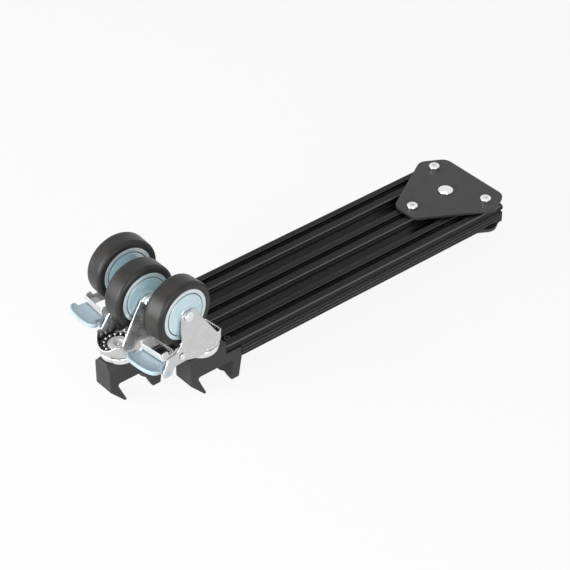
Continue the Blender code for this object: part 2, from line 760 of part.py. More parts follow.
def spring_points():
    """Centre line of the brake spring: a helix about X, beside one side plate of the shoe."""
    plate = cheek_inner(brake_pin_height() + SPRING_COIL_RADIUS) - SHOE_SIDE_GAP - SHOE_PLATE
    start = -plate + SPRING_WIRE / 2 + 2 * SEAT_GAP
    per_turn = 8
    points = []
    for index in range(SPRING_TURNS * per_turn + 1):
        angle = math.tau * index / per_turn
        x = start + SPRING_PITCH * index / per_turn
        points.append(Vector((x, SPRING_COIL_RADIUS * math.cos(angle), SPRING_COIL_RADIUS * math.sin(angle))))
    return points


def least_self_gap(points, wire, apart):
    """Least clear distance between stretches of a wire that lie some points apart along it."""
    least = math.inf
    for index, point in enumerate(points):
        for other in points[index + apart:]:
            least = min(least, (point - other).length - wire)
    return least


def make_brake_spring(side, caster):
    """Coil spring round the brake pin, one unbroken helix."""
    curve = bpy.data.curves.new(f"{side}_brake_spring", "CURVE")
    curve.dimensions = "3D"
    curve.bevel_depth = SPRING_WIRE / 2
    curve.bevel_resolution = 1
    curve.use_fill_caps = True
    curve.materials.append(make_material("chrome"))
    points = spring_points()
    spline = curve.splines.new("POLY")
    spline.points.add(len(points) - 1)
    for target, point in zip(spline.points, points):
        target.co = (*point, 1)
    spring = bpy.data.objects.new(f"{side}_brake_spring", curve)
    bpy.context.collection.objects.link(spring)
    spring.parent = caster
    spring.location = (0, BRAKE_PIN_TRAIL, brake_pin_height())


def pedal_outline(inset):
    """Top view of the pedal's blade as (across, trail from its pin), drawn in by an inset."""
    neck = cheek_inner(PEDAL_UNDERSIDE + 2 * PEDAL_THICKNESS) - 2 * SEAT_GAP - inset
    wing = PEDAL_HALF_WIDTH - inset
    root = inset - PIN_RADIUS
    start = PEDAL_WING_START + inset
    bulge = PEDAL_LENGTH - inset - start
    outline = [(-neck, start), (-neck, root), (neck, root), (neck, start)]
    steps = 12
    for index in range(steps + 1):
        angle = math.pi * index / steps
        across = math.copysign(abs(math.cos(angle)) ** PEDAL_WING_ROUNDNESS, math.cos(angle))
        along = math.sin(angle) ** PEDAL_NOSE_ROUNDNESS
        outline.append((wing * across, start + OVERCUT + (bulge - OVERCUT) * along))
    return outline


def make_pedal(side, pedal):
    """Brake pedal: a winged blade with a raised rim, on a barrel with a trunnion in each arm."""
    low = PEDAL_UNDERSIDE - PEDAL_PIN_HEIGHT
    high = low + PEDAL_THICKNESS
    blade = add_object(f"{side}_pedal", prism(pedal_outline(0), low, high), "blue_plastic", pedal)
    dish = prism(pedal_outline(PEDAL_RIM), high - PEDAL_DISH, high + OVERCUT)
    add_boolean(blade, "dish", dish, "DIFFERENCE")
    half = cheek_inner(PEDAL_PIN_HEIGHT + PEDAL_BARREL_RADIUS) - SEAT_GAP
    barrel = rod(PEDAL_BARREL_RADIUS, -half, half, frame=SIDEWAYS)
    add_boolean(blade, "barrel", barrel, "UNION")
    end = cheek_inner(FLARE_LOW) + SHEET + TRUNNION_END
    add_boolean(blade, "trunnions", rod(PIN_RADIUS, -end, end, FINE_STEPS, SIDEWAYS), "UNION")


def make_caster(side, leg, yaw):
    """Everything that swivels on one cup, with its wheel, brake shoe and pedal."""
    caster = add_empty(f"{side}_caster_body", (0, SWIVEL_INSET, CRADLE_TOP), leg, yaw)
    wheel = add_empty(f"{side}_wheel_body", (0, TRAIL, AXLE_HEIGHT), caster)
    shoe = add_empty(f"{side}_shoe_body", (0, BRAKE_PIN_TRAIL, brake_pin_height()), caster)
    pedal = add_empty(f"{side}_pedal_body", (0, PEDAL_PIN_TRAIL, PEDAL_PIN_HEIGHT), caster)
    make_fork(side, caster)
    make_swivel_bearing(side, caster)
    make_axle(side, caster)
    make_thread_guards(side, caster)
    make_brake_pin(side, caster)
    make_brake_spring(side, caster)
    make_wheel(side, wheel)
    make_brake_shoe(side, shoe)
    make_pedal(side, pedal)


def pivot_place(sign):
    """Side leg's pivot in the hub's frame: on the leg's open direction, a little off its line."""
    along = Vector((math.cos(OPEN_ANGLE), math.sin(OPEN_ANGLE)))
    across = Vector((-along.y, along.x))
    place = along * PIVOT_RADIUS - across * PIVOT_OFFSET
    return Vector((sign * place.x, place.y))


def make_leg(side, leg, length, bores, yaw=0.0):
    """Cradle, rail, screws and caster of one leg, in the leg's own frame."""
    make_cradle(side, leg)
    make_rail(side, leg, length, bores)
    make_cradle_screw(side, leg)
    make_caster_mount(side, leg)
    make_caster(side, leg, yaw)


def make_middle_leg(hub):
    """The leg that is bolted to the hub."""
    leg = add_empty("middle_leg_frame", (0, -LEG_REACH, 0), hub)
    bores = [(0, LEG_REACH, STUD_RADIUS), (0, LEG_REACH - MIDDLE_BOLT_REACH, BOLT_RADIUS)]
    make_leg("middle", leg, LEG_REACH + RAIL_TAIL, bores)


def make_side_leg(side, sign, hub, yaw):
    """A leg that folds out on its pivot; its body's empty stands on the pivot's axis."""
    pivot = pivot_place(sign)
    body = add_empty(f"{side}_leg_body", (pivot.x, pivot.y, 0), hub)
    pivot_along = LEG_REACH - PIVOT_RADIUS
    leg = add_empty(f"{side}_leg_frame", (sign * PIVOT_OFFSET, -pivot_along, 0), body)
    bush_radius = BOLT_RADIUS + SEAT_GAP + BUSH_WALL
    bores = [(-sign * PIVOT_OFFSET, pivot_along, bush_radius)]
    make_leg(side, leg, pivot_along + RAIL_TAIL, bores, yaw)
    bore = BOLT_RADIUS + SEAT_GAP
    bush = [
        (bore, RAIL_BOTTOM),
        (bush_radius, RAIL_BOTTOM),
        (bush_radius, RAIL_TOP),
        (bore, RAIL_TOP),
    ]
    add_object(f"{side}_pivot_bush", turned(bush, MEDIUM_STEPS), "bush", body)


def hub_bolt_places():
    """Where the hub's three bolts stand: the side legs' pivots and the middle leg's bolt."""
    return {
        "left_pivot_bolt": pivot_place(-1),
        "right_pivot_bolt": pivot_place(1),
        "middle_leg_bolt": Vector((0, -MIDDLE_BOLT_REACH)),
    }


def make_hub_plates(hub):
    """Two plates above and below the legs, with a round corner over each leg."""
    reach = PIVOT_RADIUS + PLATE_CORNER_WIDTH
    corners = []
    for index in range(3):
        angle = OPEN_ANGLE + math.tau * index / 3
        tangent = Vector((-math.sin(angle), math.cos(angle)))
        tip = Vector((math.cos(angle), math.sin(angle))) * reach
        for direction in (-1, 1):
            corners.append(tuple(tip + tangent * direction * PLATE_CORNER_WIDTH))
    outline = rounded(corners, radius=PLATE_ROUNDING, steps=3)
    holes = [circle(STUD_RADIUS + SEAT_GAP)]
    for place in hub_bolt_places().values():
        holes.append(circle(BOLT_RADIUS + SEAT_GAP, centre=place))
    upper = RAIL_TOP + SEAT_GAP
    lower = RAIL_BOTTOM - SEAT_GAP
    for name, low in (("hub_upper_plate", upper), ("hub_lower_plate", lower - PLATE_THICKNESS)):
        add_object(name, prism(outline, low, low + PLATE_THICKNESS, holes), "black_plate", hub)


def make_hub_bolts(hub):
    """Pivot bolts, the middle leg's bolt and the clamping stud."""
    low = RAIL_BOTTOM - 2 * SEAT_GAP - PLATE_THICKNESS
    high = RAIL_TOP + 2 * SEAT_GAP + PLATE_THICKNESS
    middle = (low + high) / 2
    for name, place in hub_bolt_places().items():
        bolt = headed_pin(BOLT_RADIUS, high - low, BOLT_HEAD_RADIUS, BOLT_HEAD_HEIGHT)
        add_object(name, bolt, "chrome", hub, (place.x, place.y, middle))
    stud = [
        (0, STUD_DEPTH),
        (STUD_RADIUS, STUD_DEPTH),
        (STUD_RADIUS, high),
        (STUD_HEAD_RADIUS, high),
        (BOLT_HEAD_RADIUS, high + BOLT_HEAD_HEIGHT),
        (0, high + BOLT_HEAD_HEIGHT),
    ]
    add_object("hub_stud", turned(stud, MEDIUM_STEPS), "chrome", hub)


def make_knob(hub):
    """Lobed clamping knob on the stud; the folded dolly lies on its flat face."""
    body = add_empty("hub_knob_body", (0, 0, 0), hub)
    points = []
    steps = 6 * KNOB_LOBES
    for index in range(steps):
        angle = math.tau * index / steps
        radius = KNOB_RADIUS - KNOB_LOBE_DEPTH * (1 - math.cos(KNOB_LOBES * angle)) / 2
        points.append((radius * math.cos(angle), radius * math.sin(angle)))
    knob = add_object("hub_knob", prism(points, 0, KNOB_HEIGHT), "cradle_plastic", body)
    boss_top = RAIL_BOTTOM - 2 * SEAT_GAP - PLATE_THICKNESS
    add_boolean(knob, "boss", rod(KNOB_BOSS_RADIUS, STUD_DEPTH, boss_top, MEDIUM_STEPS), "UNION")
    bore = rod(STUD_RADIUS + SEAT_GAP, STUD_DEPTH - SEAT_GAP, boss_top + OVERCUT)
    add_boolean(knob, "bore", bore, "DIFFERENCE")


def main():
    """Build the whole dolly."""
    clear_scene()
    hub = add_empty("hub_body")
    make_hub_plates(hub)
    make_hub_bolts(hub)
    make_knob(hub)
    make_middle_leg(hub)
    make_side_leg("left", -1, hub, LEFT_YAW)
    make_side_leg("right", 1, hub, RIGHT_YAW)
    gap = least_self_gap(spring_points(), SPRING_WIRE, apart=4)
    print(f"least gap of the brake spring to itself: {gap / MM:.2f} mm")


main()
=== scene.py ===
"""Looks of the folding tripod dolly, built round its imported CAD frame.

Sizes are millimetres until a piece is made. Each leg's pieces are drawn in that leg's frame (origin
under the cradle's end, +Y to the hub); each caster's pieces in a frame on its swivel axis at the
cradle's top, with +Y where the wheel trails.
"""

import json
import math

import bmesh
import bpy
import numpy as np
from mathutils import Matrix, Vector
from mathutils.geometry import tessellate_polygon


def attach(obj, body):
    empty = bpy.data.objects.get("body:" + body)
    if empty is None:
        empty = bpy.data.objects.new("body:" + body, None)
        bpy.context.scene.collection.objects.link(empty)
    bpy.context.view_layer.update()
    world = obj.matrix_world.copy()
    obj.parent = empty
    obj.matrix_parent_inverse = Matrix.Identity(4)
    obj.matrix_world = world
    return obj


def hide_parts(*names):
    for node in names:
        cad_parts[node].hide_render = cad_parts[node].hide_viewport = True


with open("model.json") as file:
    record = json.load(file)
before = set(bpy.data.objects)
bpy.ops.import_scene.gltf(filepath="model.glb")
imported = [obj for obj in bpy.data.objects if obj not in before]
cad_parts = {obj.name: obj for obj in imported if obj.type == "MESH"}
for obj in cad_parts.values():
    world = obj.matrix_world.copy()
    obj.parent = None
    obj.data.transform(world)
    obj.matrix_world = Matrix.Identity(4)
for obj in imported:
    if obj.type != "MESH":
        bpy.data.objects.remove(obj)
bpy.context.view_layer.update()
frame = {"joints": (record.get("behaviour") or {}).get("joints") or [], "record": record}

MM = 0.001
SIDES = ("left", "middle", "right")

# How finely curves are drawn
ROUND_STEPS = 96
TYRE_STEPS = 144
SMALL_STEPS = 48
CORNER_STEPS = 6
EDGE_STEPS = 3
MERGE_DISTANCE = 2e-6
SHARP_ANGLE = math.radians(38)
LEAST_SIDE = 1e-4
STRAIGHT_ANGLE = math.radians(88)
MITRE_LIMIT = 1.5
BEND_STEP = 3
SHADING_WEIGHT = 60

# Clearance between pieces, and how far their sharp edges are broken
SEAT_GAP = 0.3
FINE_EDGE = 0.4
EDGE = 0.5
WIDE_EDGE = 0.6

# Legs
LEG_REACH = 505
PIVOT_OFFSET = 2.4
PIVOT_RADIUS = 50
OPEN_ANGLE = math.radians(30)
LEG_WIDTH = 27
RAIL_BOTTOM = 26.6
RAIL_TOP = 50
RAIL_TAIL = 14

# Foot cradle
CRADLE_TOP = 55
HEAD_LENGTH = 50
SHOE_LENGTH = 71.2
SHOE_TOP = 40
CRADLE_EDGE = 1.1
NOTCH_HALF_WIDTH = 8.5
NOTCH_DEPTH = 4.5
SHOULDER_ROUNDING = 9.5
SHOULDER_LEAST = 1.6
SHOULDER_FADE = 17
# Its side view, from the nose round by claw and hook to the shoe: (along, height, rounding)
CRADLE_OUTLINE = (
    (0, CRADLE_TOP, 2.4), (0, 19.7, 2.4), (18.2, 0, 1.2), (21.3, 0, 1.2), (9.8, RAIL_BOTTOM, 2.6),
    (59.5, RAIL_BOTTOM, 2.6), (55.7, 0, 1.2), (66.6, 0, 1.2), (SHOE_LENGTH, RAIL_BOTTOM, 1),
    (SHOE_LENGTH, SHOE_TOP, 0.6), (HEAD_LENGTH, SHOE_TOP, 0.3), (HEAD_LENGTH, CRADLE_TOP, 1.2),
)

# Rail section
RAIL_WALL = 2.6
BEAD_HEIGHT = 7.5
BEAD_ROUNDING = 2.4
GROOVE_HEIGHT = 2.6
GROOVE_DEPTH = 2.2
SLOT_WIDTH = 9
SLOT_DEPTH = 4
RIB_DEPTH = 0.5
RIB_HEIGHT = 1.1
RIB_PLACES = (34.6, 30.4)
RAIL_EDGE = 0.25
RAIL_LAP = 1
CHAMBER_ROUNDING = 0.8

# Caster mounting
SWIVEL_INSET = 23.3
CUP_TOP_RADIUS = 22.2
CUP_FOOT_RADIUS = 20.7
CUP_HEIGHT = 8.7
CUP_FOOT_ROUNDING = 2.6
CUP_LIP_ROUNDING = 1.1
CUP_FOOT_SHARE = 0.45
CUP_SPREAD = 0.8
CUP_CLIMB = 0.9
KINGPIN_RADIUS = 5
FLANGE_RADIUS = 12.2
FLANGE_HEIGHT = 3.2
KINGPIN_CHAMFER = 1.2
KINGPIN_DEPTH = 22
RECESS_RADIUS = 5.4
RECESS_DEPTH = 6
RECESS_DRAFT = 0.3
KINGPIN_END = 1
RIVET_RADIUS = 2.7
RIVET_RISE = 5

# Caster fork
SHEET = 1.9
DISH_RADIUS = 24
DISH_FOOT_RADIUS = 22.3
DISH_WALL_HEIGHT = 7.5
DISH_ROUNDING = 2
INNER_ROUNDING = 1.6
LIP_LOW = 17.8
LIP_RISE = 27
LIP_HIGH = 26.6
REAR_LIP = 13.8
SIDE_LIP = 14.4
LIP_TURN = 10
FRONT_FADE = 5
REAR_FADE = 2
RACE_OUTER = 19
RACE_INNER = 13.4
RACE_DEPTH = 1.1
CHEEK_INNER = 15.2
CHEEK_FLARE = 4.2
FLARE_TOP = 58
FLARE_LOW = 16
FLARE_SOFTNESS = 0.07
WALL_LEAN = 3
TRAIL = 30
AXLE_HEIGHT = 68
BRAKE_PIN_TRAIL = 43.8
BRAKE_PIN_HEIGHT = 24
PEDAL_PIN_TRAIL = 65.3
PEDAL_PIN_HEIGHT = 13.4
# A cheek's side view with its pedal arm: (behind the swivel axis, height, rounding)
CHEEK_OUTLINE = (
    (-8.6, 10.1, 0), (-10.2, 24, 3.5), (22, 74.5, 6), (39.5, 74.5, 5), (42.5, 39, 8), (51.5, 31, 6),
    (62.8, 31, 7), (72.8, 15.9, 5), (70.3, 8.8, 3.2), (60.4, 8.8, 3.2), (56, 17.2, 6),
    (39, 16.6, 14), (21, 10.1, 0),
)
SHEET_EDGE = 0.5
CHEEK_SEAM = 0.06
BALL_RADIUS = 2
BALL_CIRCLE = 16.2
BALL_COUNT = 16
CAGE_HALF_HEIGHT = 0.7
CAGE_DROP = 0.5
FORK_SEAT = CUP_HEIGHT + 3 * SEAT_GAP
FORK_FLOOR = FORK_SEAT + SHEET
BEND_LOW = FORK_SEAT + 2
BEND_HIGH = AXLE_HEIGHT + 4
BALL_HEIGHT = FORK_FLOOR + SEAT_GAP + BALL_RADIUS

# Wheel
WHEEL_RADIUS = 38
HALF_TREAD = 12.5
SHOULDER = 4.6
RIM_RADIUS = 29.7
RIM_RING = 4.6
RIM_EDGE = 0.7
RIM_WEB = 3
RIM_HUB_RADIUS = 9
RIM_HUB_END = 11
RIM_HUB_FILLET = 2
GUARD_GROOVE = 0.9
GUARD_DOME = 0.35
GUARD_FACE = 13.3
GUARD_RIM = 12.75
GUARD_BACK = 12.15
BOSS_FACE = 14.9
BOSS_FOOT = 1.6
AXLE_RADIUS = 4
AXLE_FACE = 17.4
AXLE_HEAD_RADIUS = 6.2
AXLE_HEAD_HEIGHT = 3.4
AXLE_HEAD_SIDE = 1.2
NUT_RADIUS = 7.5
NUT_HEIGHT = 4.6
NUT_CHAMFER = 0.8
NUT_CLEARANCE = 0.05
THREAD_END = 1.6
THREAD_CHAMFER = 0.8
THREAD_CHAMFER_LENGTH = 0.7
# Where the tread's shoulders pass into its crown, in degrees from straight out
CROWN_START = 4

# Brake
PIN_RADIUS = 2.5
PIN_HEAD_RADIUS = 4
PIN_HEAD_HEIGHT = 1
SHOE_PLATE = 1.4
SHOE_SIDE_GAP = 0.35
SHOE_GAP = 1.3
SHOE_EAR = 4.8
SHOE_REACH = 3.5
RISER_WIDTH = 8.5
PAD_LOBE = 11
PAD_LOBE_FRONT = 2
RISER_FOOT = 5
SHOE_RISE = 15
SHOE_OVER_PEDAL = 0.9
PAD_THICKNESS = 1.8
# The pad's ends, in degrees about the axle
PAD_FROM = -70
PAD_TO = -55
WEB_INSET = 0.25
WEB_EDGE = 0.1
PAD_EDGE = 0.3
SPRING_WIRE = 1.3
SPRING_COIL_RADIUS = 3.8
SPRING_TURNS = 5
SPRING_PITCH = 2.1
SPRING_STEPS = 24
WIRE_STEPS = 10
BRAKE_PIN_PLACE = (0, BRAKE_PIN_TRAIL, BRAKE_PIN_HEIGHT)

# Pedal
PEDAL_LENGTH = 24.5
PEDAL_HALF = 24
PEDAL_UNDERSIDE = 22.4
PEDAL_TOP = 27.6
PEDAL_FOOT = 14.6
PEDAL_FOOT_REACH = 8
BARREL_RADIUS = 4.8
PEDAL_RIM = 2.4
PEDAL_DISH = 0.7
RIM_FADE = 5
RIM_SUNK = 2
PEDAL_EDGE = 1.2
WING_START = 12.5
PEDAL_CORNER = 1.8
WING_ROUNDNESS = 0.7
NOSE_ROUNDNESS = 0.8
TRUNNION_END = 0.8
NOSE_STEPS = 40
# Its raised rim, from the foot up: (in from the edge, below the top)
RIM_PATH = ((0.25, PEDAL_DISH + 1.2), (0.1, 1.1), (0.5, 0.3), (1.2, 0))

# Hub
PLATE_THICKNESS = 4
CORNER_WIDTH = 17
PLATE_ROUNDING = 13.6
PLATE_EDGE = 0.7
MIDDLE_BOLT_REACH = 54
BOLT_RADIUS = 4
BOLT_HEAD_RADIUS = 6.6
BOLT_HEAD_HEIGHT = 4
BOLT_HEAD_EDGE = 1.4
BOLT_SOCKET = 2.6
BOLT_SOCKET_DEPTH = 2.2
SOCKET_CORNER = 1.1
BUSH_RADIUS = 6.3
STUD_RADIUS = 5
STUD_HEAD_RADIUS = 9.2
STUD_DEPTH = 7
STUD_HEAD_SIDE = 1
HUB_LOW = RAIL_BOTTOM - 2 * SEAT_GAP - PLATE_THICKNESS
HUB_HIGH = RAIL_TOP + 2 * SEAT_GAP + PLATE_THICKNESS
KNOB_RADIUS = 24
KNOB_LOBES = 5
KNOB_LOBE_DEPTH = 3.2
KNOB_HEIGHT = 14
BOSS_RADIUS = 11
KNOB_EDGE = 2.4
BOSS_FILLET = 1.5
BOSS_RISE = 1.2
SCREW_PLACE = 60.6
SCREW_HEAD_RADIUS = 3.9
SCREW_HEAD_HEIGHT = 2.6
SCREW_RADIUS = 2.2
SCREW_END = 31
SCREW_SOCKET = 1.9
SCREW_SOCKET_DEPTH = 1.6


# Shapes: each is its points and blocks of faces


def skin(points, closed_rows=True, closed_columns=True):
    """Join each point of a grid to its neighbours in the next row and column by four-sided faces."""
    rows, columns = points.shape[:2]
    index = np.arange(rows * columns).reshape(rows, columns)
    if closed_rows:
        index = np.vstack([index, index[:1]])
    if closed_columns:
        index = np.hstack([index, index[:, :1]])
    corners = [index[:-1, :-1], index[1:, :-1], index[1:, 1:], index[:-1, 1:]]
    return points.reshape(-1, 3), [np.stack(corners, axis=-1).reshape(-1, 4)]


def joined(*shapes):
    """Put shapes together in one list of points, each one's faces counted on from the last."""
    points, faces, start = [], [], 0
    for part_points, part_faces in shapes:
        points.append(part_points)
        faces.extend(block + start for block in part_faces)
        start += len(part_points)
    return np.concatenate(points), faces


def sideways(shape, shift=(0, 0, 0)):
    """Turn (u, v, w) into w across, u along and v up, then shift it."""
    points, faces = shape
    return points[:, [2, 0, 1]] + np.array(shift), faces


def shifted(shape, shift):
    """Move a shape."""
    return shape[0] + np.array(shift), shape[1]


def changed(shape, change):
    """Give a shape's points to a function of the whole array."""
    return change(shape[0].copy()), shape[1]


def soft_share(value):
    """Value held between 0 and 1 with soft corners: (|x| - |x - 1| + 1) / 2, each |x| as a root."""
    rounding = FLARE_SOFTNESS ** 2
    return (np.sqrt(value ** 2 + rounding) - np.sqrt((value - 1) ** 2 + rounding) + 1) / 2


def ease(value):
    """Smooth step: 3 x^2 - 2 x^3 between 0 and 1."""
    held = np.clip(value, 0, 1)
    return held * held * (3 - 2 * held)


def rounded(corners, radius=0.0, steps=CORNER_STEPS):
    """Each corner of a loop, (x, y) or (x, y, radius), becomes an arc that touches both its sides.

    The arc's centre lies on the corner's bisector, radius / sin(half the corner's angle) away.
    """
    table = np.array([(tuple(corner) + (radius,))[:3] for corner in corners], float)
    place, size = table[:, :2], table[:, 2:]
    before = np.roll(place, 1, axis=0) - place
    after = np.roll(place, -1, axis=0) - place
    before /= np.linalg.norm(before, axis=1, keepdims=True)
    after /= np.linalg.norm(after, axis=1, keepdims=True)
    dot = np.clip(np.sum(before * after, axis=1, keepdims=True), -1, 1)
    half = np.arccos(dot) / 2
    straight = half > STRAIGHT_ANGLE
    size = np.where(straight, 0, size)
    bisector = before + after
    length = np.linalg.norm(bisector, axis=1, keepdims=True)
    bisector = np.where(straight, 0, bisector / np.where(length == 0, 1, length))
    centre = place + bisector * size / np.sin(half)
    start = before * size / np.tan(half) + place - centre
    end = after * size / np.tan(half) + place - centre
    first = np.arctan2(start[:, 1], start[:, 0])[:, None]
    sweep = np.arctan2(end[:, 1], end[:, 0])[:, None] - first
    sweep = (sweep + math.pi) % math.tau - math.pi
    angle = first + sweep * np.linspace(0, 1, steps + 1)
    arc = centre[:, None] + size[:, None] * np.stack([np.cos(angle), np.sin(angle)], axis=-1)
    loop = arc.reshape(-1, 2)
    step = np.linalg.norm(loop - np.roll(loop, 1, axis=0), axis=1)
    return loop[step > LEAST_SIDE]


def oriented(loop, outward):
    """A loop in the order that puts its material on the left."""
    x, y = loop[:, 0], loop[:, 1]
    turning = np.sum(x * np.roll(y, -1) - np.roll(x, -1) * y)
    return loop if (turning > 0) == outward else loop[::-1]


def mitres(loop):
    """Outward mitre at each corner of a loop: (n + m) / (1 + n . m) for its sides' normals n and m."""
    side = np.roll(loop, -1, axis=0) - loop
    normal = np.stack([side[:, 1], -side[:, 0]], axis=1)
    normal /= np.linalg.norm(normal, axis=1, keepdims=True)
    before = np.roll(normal, 1, axis=0)
    return (before + normal) / (1 + np.sum(before * normal, axis=1, keepdims=True))


def carried(outline, rim, holes=()):
    """An outline and its holes carried along a rim path of (inset, height), closed at both ends.

    At each step a loop is loop - mitre * inset, raised to that step's height.
    """
    inset, height = np.array(rim, float).T
    loops = [oriented(np.array(outline, float), True)]
    loops += [oriented(np.array(hole, float), False) for hole in holes]
    walls, low, high, start = [], [], [], 0
    for loop in loops:
        rings = loop[None] - mitres(loop)[None] * inset[:, None, None]
        level = np.broadcast_to(height[:, None, None], rings.shape[:2] + (1,))
        walls.append(skin(np.concatenate([rings, level], axis=2), closed_rows=False))
        count = len(loop)
        low.append(start + np.arange(count))
        high.append(start + (len(rim) - 1) * count + np.arange(count))
        start += len(rim) * count
    points, faces = joined(*walls)
    for ends in (np.concatenate(low), np.concatenate(high)):
        flat, place = [], 0
        for loop in loops:
            ring = points[ends[place:place + len(loop)]]
            flat.append([Vector((x, y, 0)) for x, y, _ in ring])
            place += len(loop)
        faces.append(ends[np.array(tessellate_polygon(flat))])
    return points, faces


def quarter(steps):
    """Angles of a quarter turn, from 0 on."""
    return np.linspace(0, math.pi / 2, steps + 1)


def whole_turn(steps):
    """Angles of a whole turn, from 0 on, without the last, which is the first again."""
    return np.linspace(0, math.tau, steps, endpoint=False)


def slab(outline, low, high, edge, holes=(), stations=()):
    """A plate of an outline: a quarter round at each edge, and level stations between."""
    turn = quarter(EDGE_STEPS)
    middle = np.array(stations, float)
    growing, shrinking = edge * (1 - np.cos(turn)), edge * (1 - np.sin(turn))
    inset = np.concatenate([shrinking, 0 * middle, growing])
    height = np.concatenate([low + growing, middle, high - shrinking])
    return carried(outline, np.stack([inset, height], axis=1), holes)


def circle(radius, centre=(0, 0), steps=SMALL_STEPS):
    """A round loop: centre + radius * (cos a, sin a)."""
    angle = whole_turn(steps)
    return np.stack([centre[0] + radius * np.cos(angle), centre[1] + radius * np.sin(angle)], axis=1)


def lathe(profile, steps=ROUND_STEPS, swell=None):
    """Carry a closed (radius, height) profile round the axis: (r cos a, r sin a, h).

    swell, if given, is a function of (a, r, h) that gives the radius to use instead.
    """
    table = np.array(profile, float)
    angle = whole_turn(steps)[:, None]
    radius, height = np.broadcast_arrays(table[None, :, 0] + 0 * angle, table[None, :, 1])
    if swell is not None:
        radius = swell(angle, radius, height)
    return skin(np.stack([radius * np.cos(angle), radius * np.sin(angle), height], axis=-1))


def arc_between(centre, radius, first, last, steps=CORNER_STEPS):
    """Points of an arc: centre + radius * (cos a, sin a) for a from first to last, in degrees."""
    angle = np.radians(np.linspace(first, last, steps + 1))
    return list(zip(centre[0] + radius * np.cos(angle), centre[1] + radius * np.sin(angle)))


def dome(radius, foot, rise, steps):
    """Half an ellipse's outline from its crown to its foot: (radius sin a, foot + rise cos a)."""
    turn = quarter(steps)
    return list(zip(radius * np.sin(turn), foot + rise * np.cos(turn)))


def both_ends(half):
    """One end of a turned piece's profile, then its mirror image back on the other side."""
    return half + [(radius, -place) for radius, place in reversed(half)]


def hexagon(angle, corner):
    """Distance from the axis to a hexagon's side at an angle: apothem / cos(angle from the side)."""
    sixth = math.tau / 6
    off = np.mod(angle, sixth) - sixth / 2
    return corner * math.cos(sixth / 2) / np.cos(off)


def hex_socket(size):
    """A swell for lathe: what lies at the socket's radius becomes a hexagon, the rest stays round."""
    return lambda angle, radius, height: np.where(
        radius == size, hexagon(angle, size * SOCKET_CORNER), radius
    )


def to_work(shape):
    """A bmesh of a shape."""
    mesh = bpy.data.meshes.new("work")
    points, faces = shape
    mesh.from_pydata(points.tolist(), [], [row for block in faces for row in block.tolist()])
    work = bmesh.new()
    work.from_mesh(mesh)
    bpy.data.meshes.remove(mesh)
    return work


def sliced(shape, cuts):
    """Cut a shape's faces by planes, given as {axis: places}."""
    work = to_work(shape)
    bmesh.ops.remove_doubles(work, verts=work.verts, dist=LEAST_SIDE)
    for axis, places in cuts.items():
        normal = Vector((0, 0, 0))
        normal[axis] = 1
        for place in places:
            everything = work.verts[:] + work.edges[:] + work.faces[:]
            bmesh.ops.bisect_plane(
                work, geom=everything, dist=LEAST_SIDE, plane_co=normal * place, plane_no=normal
            )
    work.verts.index_update()
    points = np.array([vert.co for vert in work.verts])
    faces = [np.array([[vert.index for vert in face.verts]]) for face in work.faces]
    work.free()
    return points, faces


# Making pieces

body_of_node = {
    node: body for body, nodes in frame["record"]["behaviour"]["bodies"].items() for node in nodes
}
anchors = {joint["name"]: np.array(joint["pos_m"]) for joint in frame["joints"]}


def caster_frame(side):
    """Matrix from a caster's millimetres to the model's metres: +Y from swivel axis to wheel."""
    swivel = anchors[f"{side}_caster_swivel"]
    along = anchors[f"{side}_wheel_spin"] - swivel
    along[2] = 0
    along /= np.linalg.norm(along)
    place = np.eye(4)
    place[:3, 0] = (along[1], -along[0], 0)
    place[:3, 1] = along
    place[:3, :3] *= MM
    place[2, 2] = MM
    place[:3, 3] = (swivel[0], swivel[1], CRADLE_TOP * MM)
    return place


HUB_FRAME = np.diag([MM, MM, MM, 1.0])


def leg_frame(side):
    """Matrix from a leg's millimetres to the model's metres."""
    swivel = anchors[f"{side}_caster_swivel"]
    place = HUB_FRAME.copy()
    place[:3, 3] = (swivel[0], swivel[1] - SWIVEL_INSET * MM, 0)
    return place


def placed(name, data):
    """A new object of the scene for a mesh, a light or a camera."""
    made = bpy.data.objects.new(name, data)
    bpy.context.scene.collection.objects.link(made)
    return made


def add_piece(name, shape, finish, place, node):
    """Make a piece of a shape, on the body of the CAD node that it stands for."""
    points, faces = shape
    work = to_work((points @ place[:3, :3].T + place[:3, 3], faces))
    bmesh.ops.remove_doubles(work, verts=work.verts, dist=MERGE_DISTANCE)
    loose = [edge for edge in work.edges if not edge.link_faces]
    bmesh.ops.delete(work, geom=loose, context="EDGES")
    bmesh.ops.recalc_face_normals(work, faces=work.faces)
    mesh = bpy.data.meshes.new(name)
    work.to_mesh(mesh)
    work.free()
    mesh.shade_smooth()
    mesh.set_sharp_from_angle(angle=SHARP_ANGLE)
    mesh.materials.append(finish)
    made = placed(name, mesh)
    even = made.modifiers.new("even_shading", "WEIGHTED_NORMAL")
    even.keep_sharp = True
    even.weight = SHADING_WEIGHT
    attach(made, body_of_node[node])
    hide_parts(node)


# Finishes


class Signal:
    """A socket of a finish's nodes. Arithmetic on signals adds Math nodes."""

    def __init__(self, finish, socket):
        self.finish = finish
        self.socket = socket

    def math(self, operation, *values):
        return self.finish.node("ShaderNodeMath", {"operation": operation}, dict(enumerate(values)))

    def __add__(self, other):
        return self.math("ADD", self, other)

    def __radd__(self, other):
        return self.math("ADD", other, self)

    def __sub__(self, other):
        return self.math("SUBTRACT", self, other)

    def __rsub__(self, other):
        return self.math("SUBTRACT", other, self)

    def __mul__(self, other):
        return self.math("MULTIPLY", self, other)

    def __rmul__(self, other):
        return self.math("MULTIPLY", other, self)


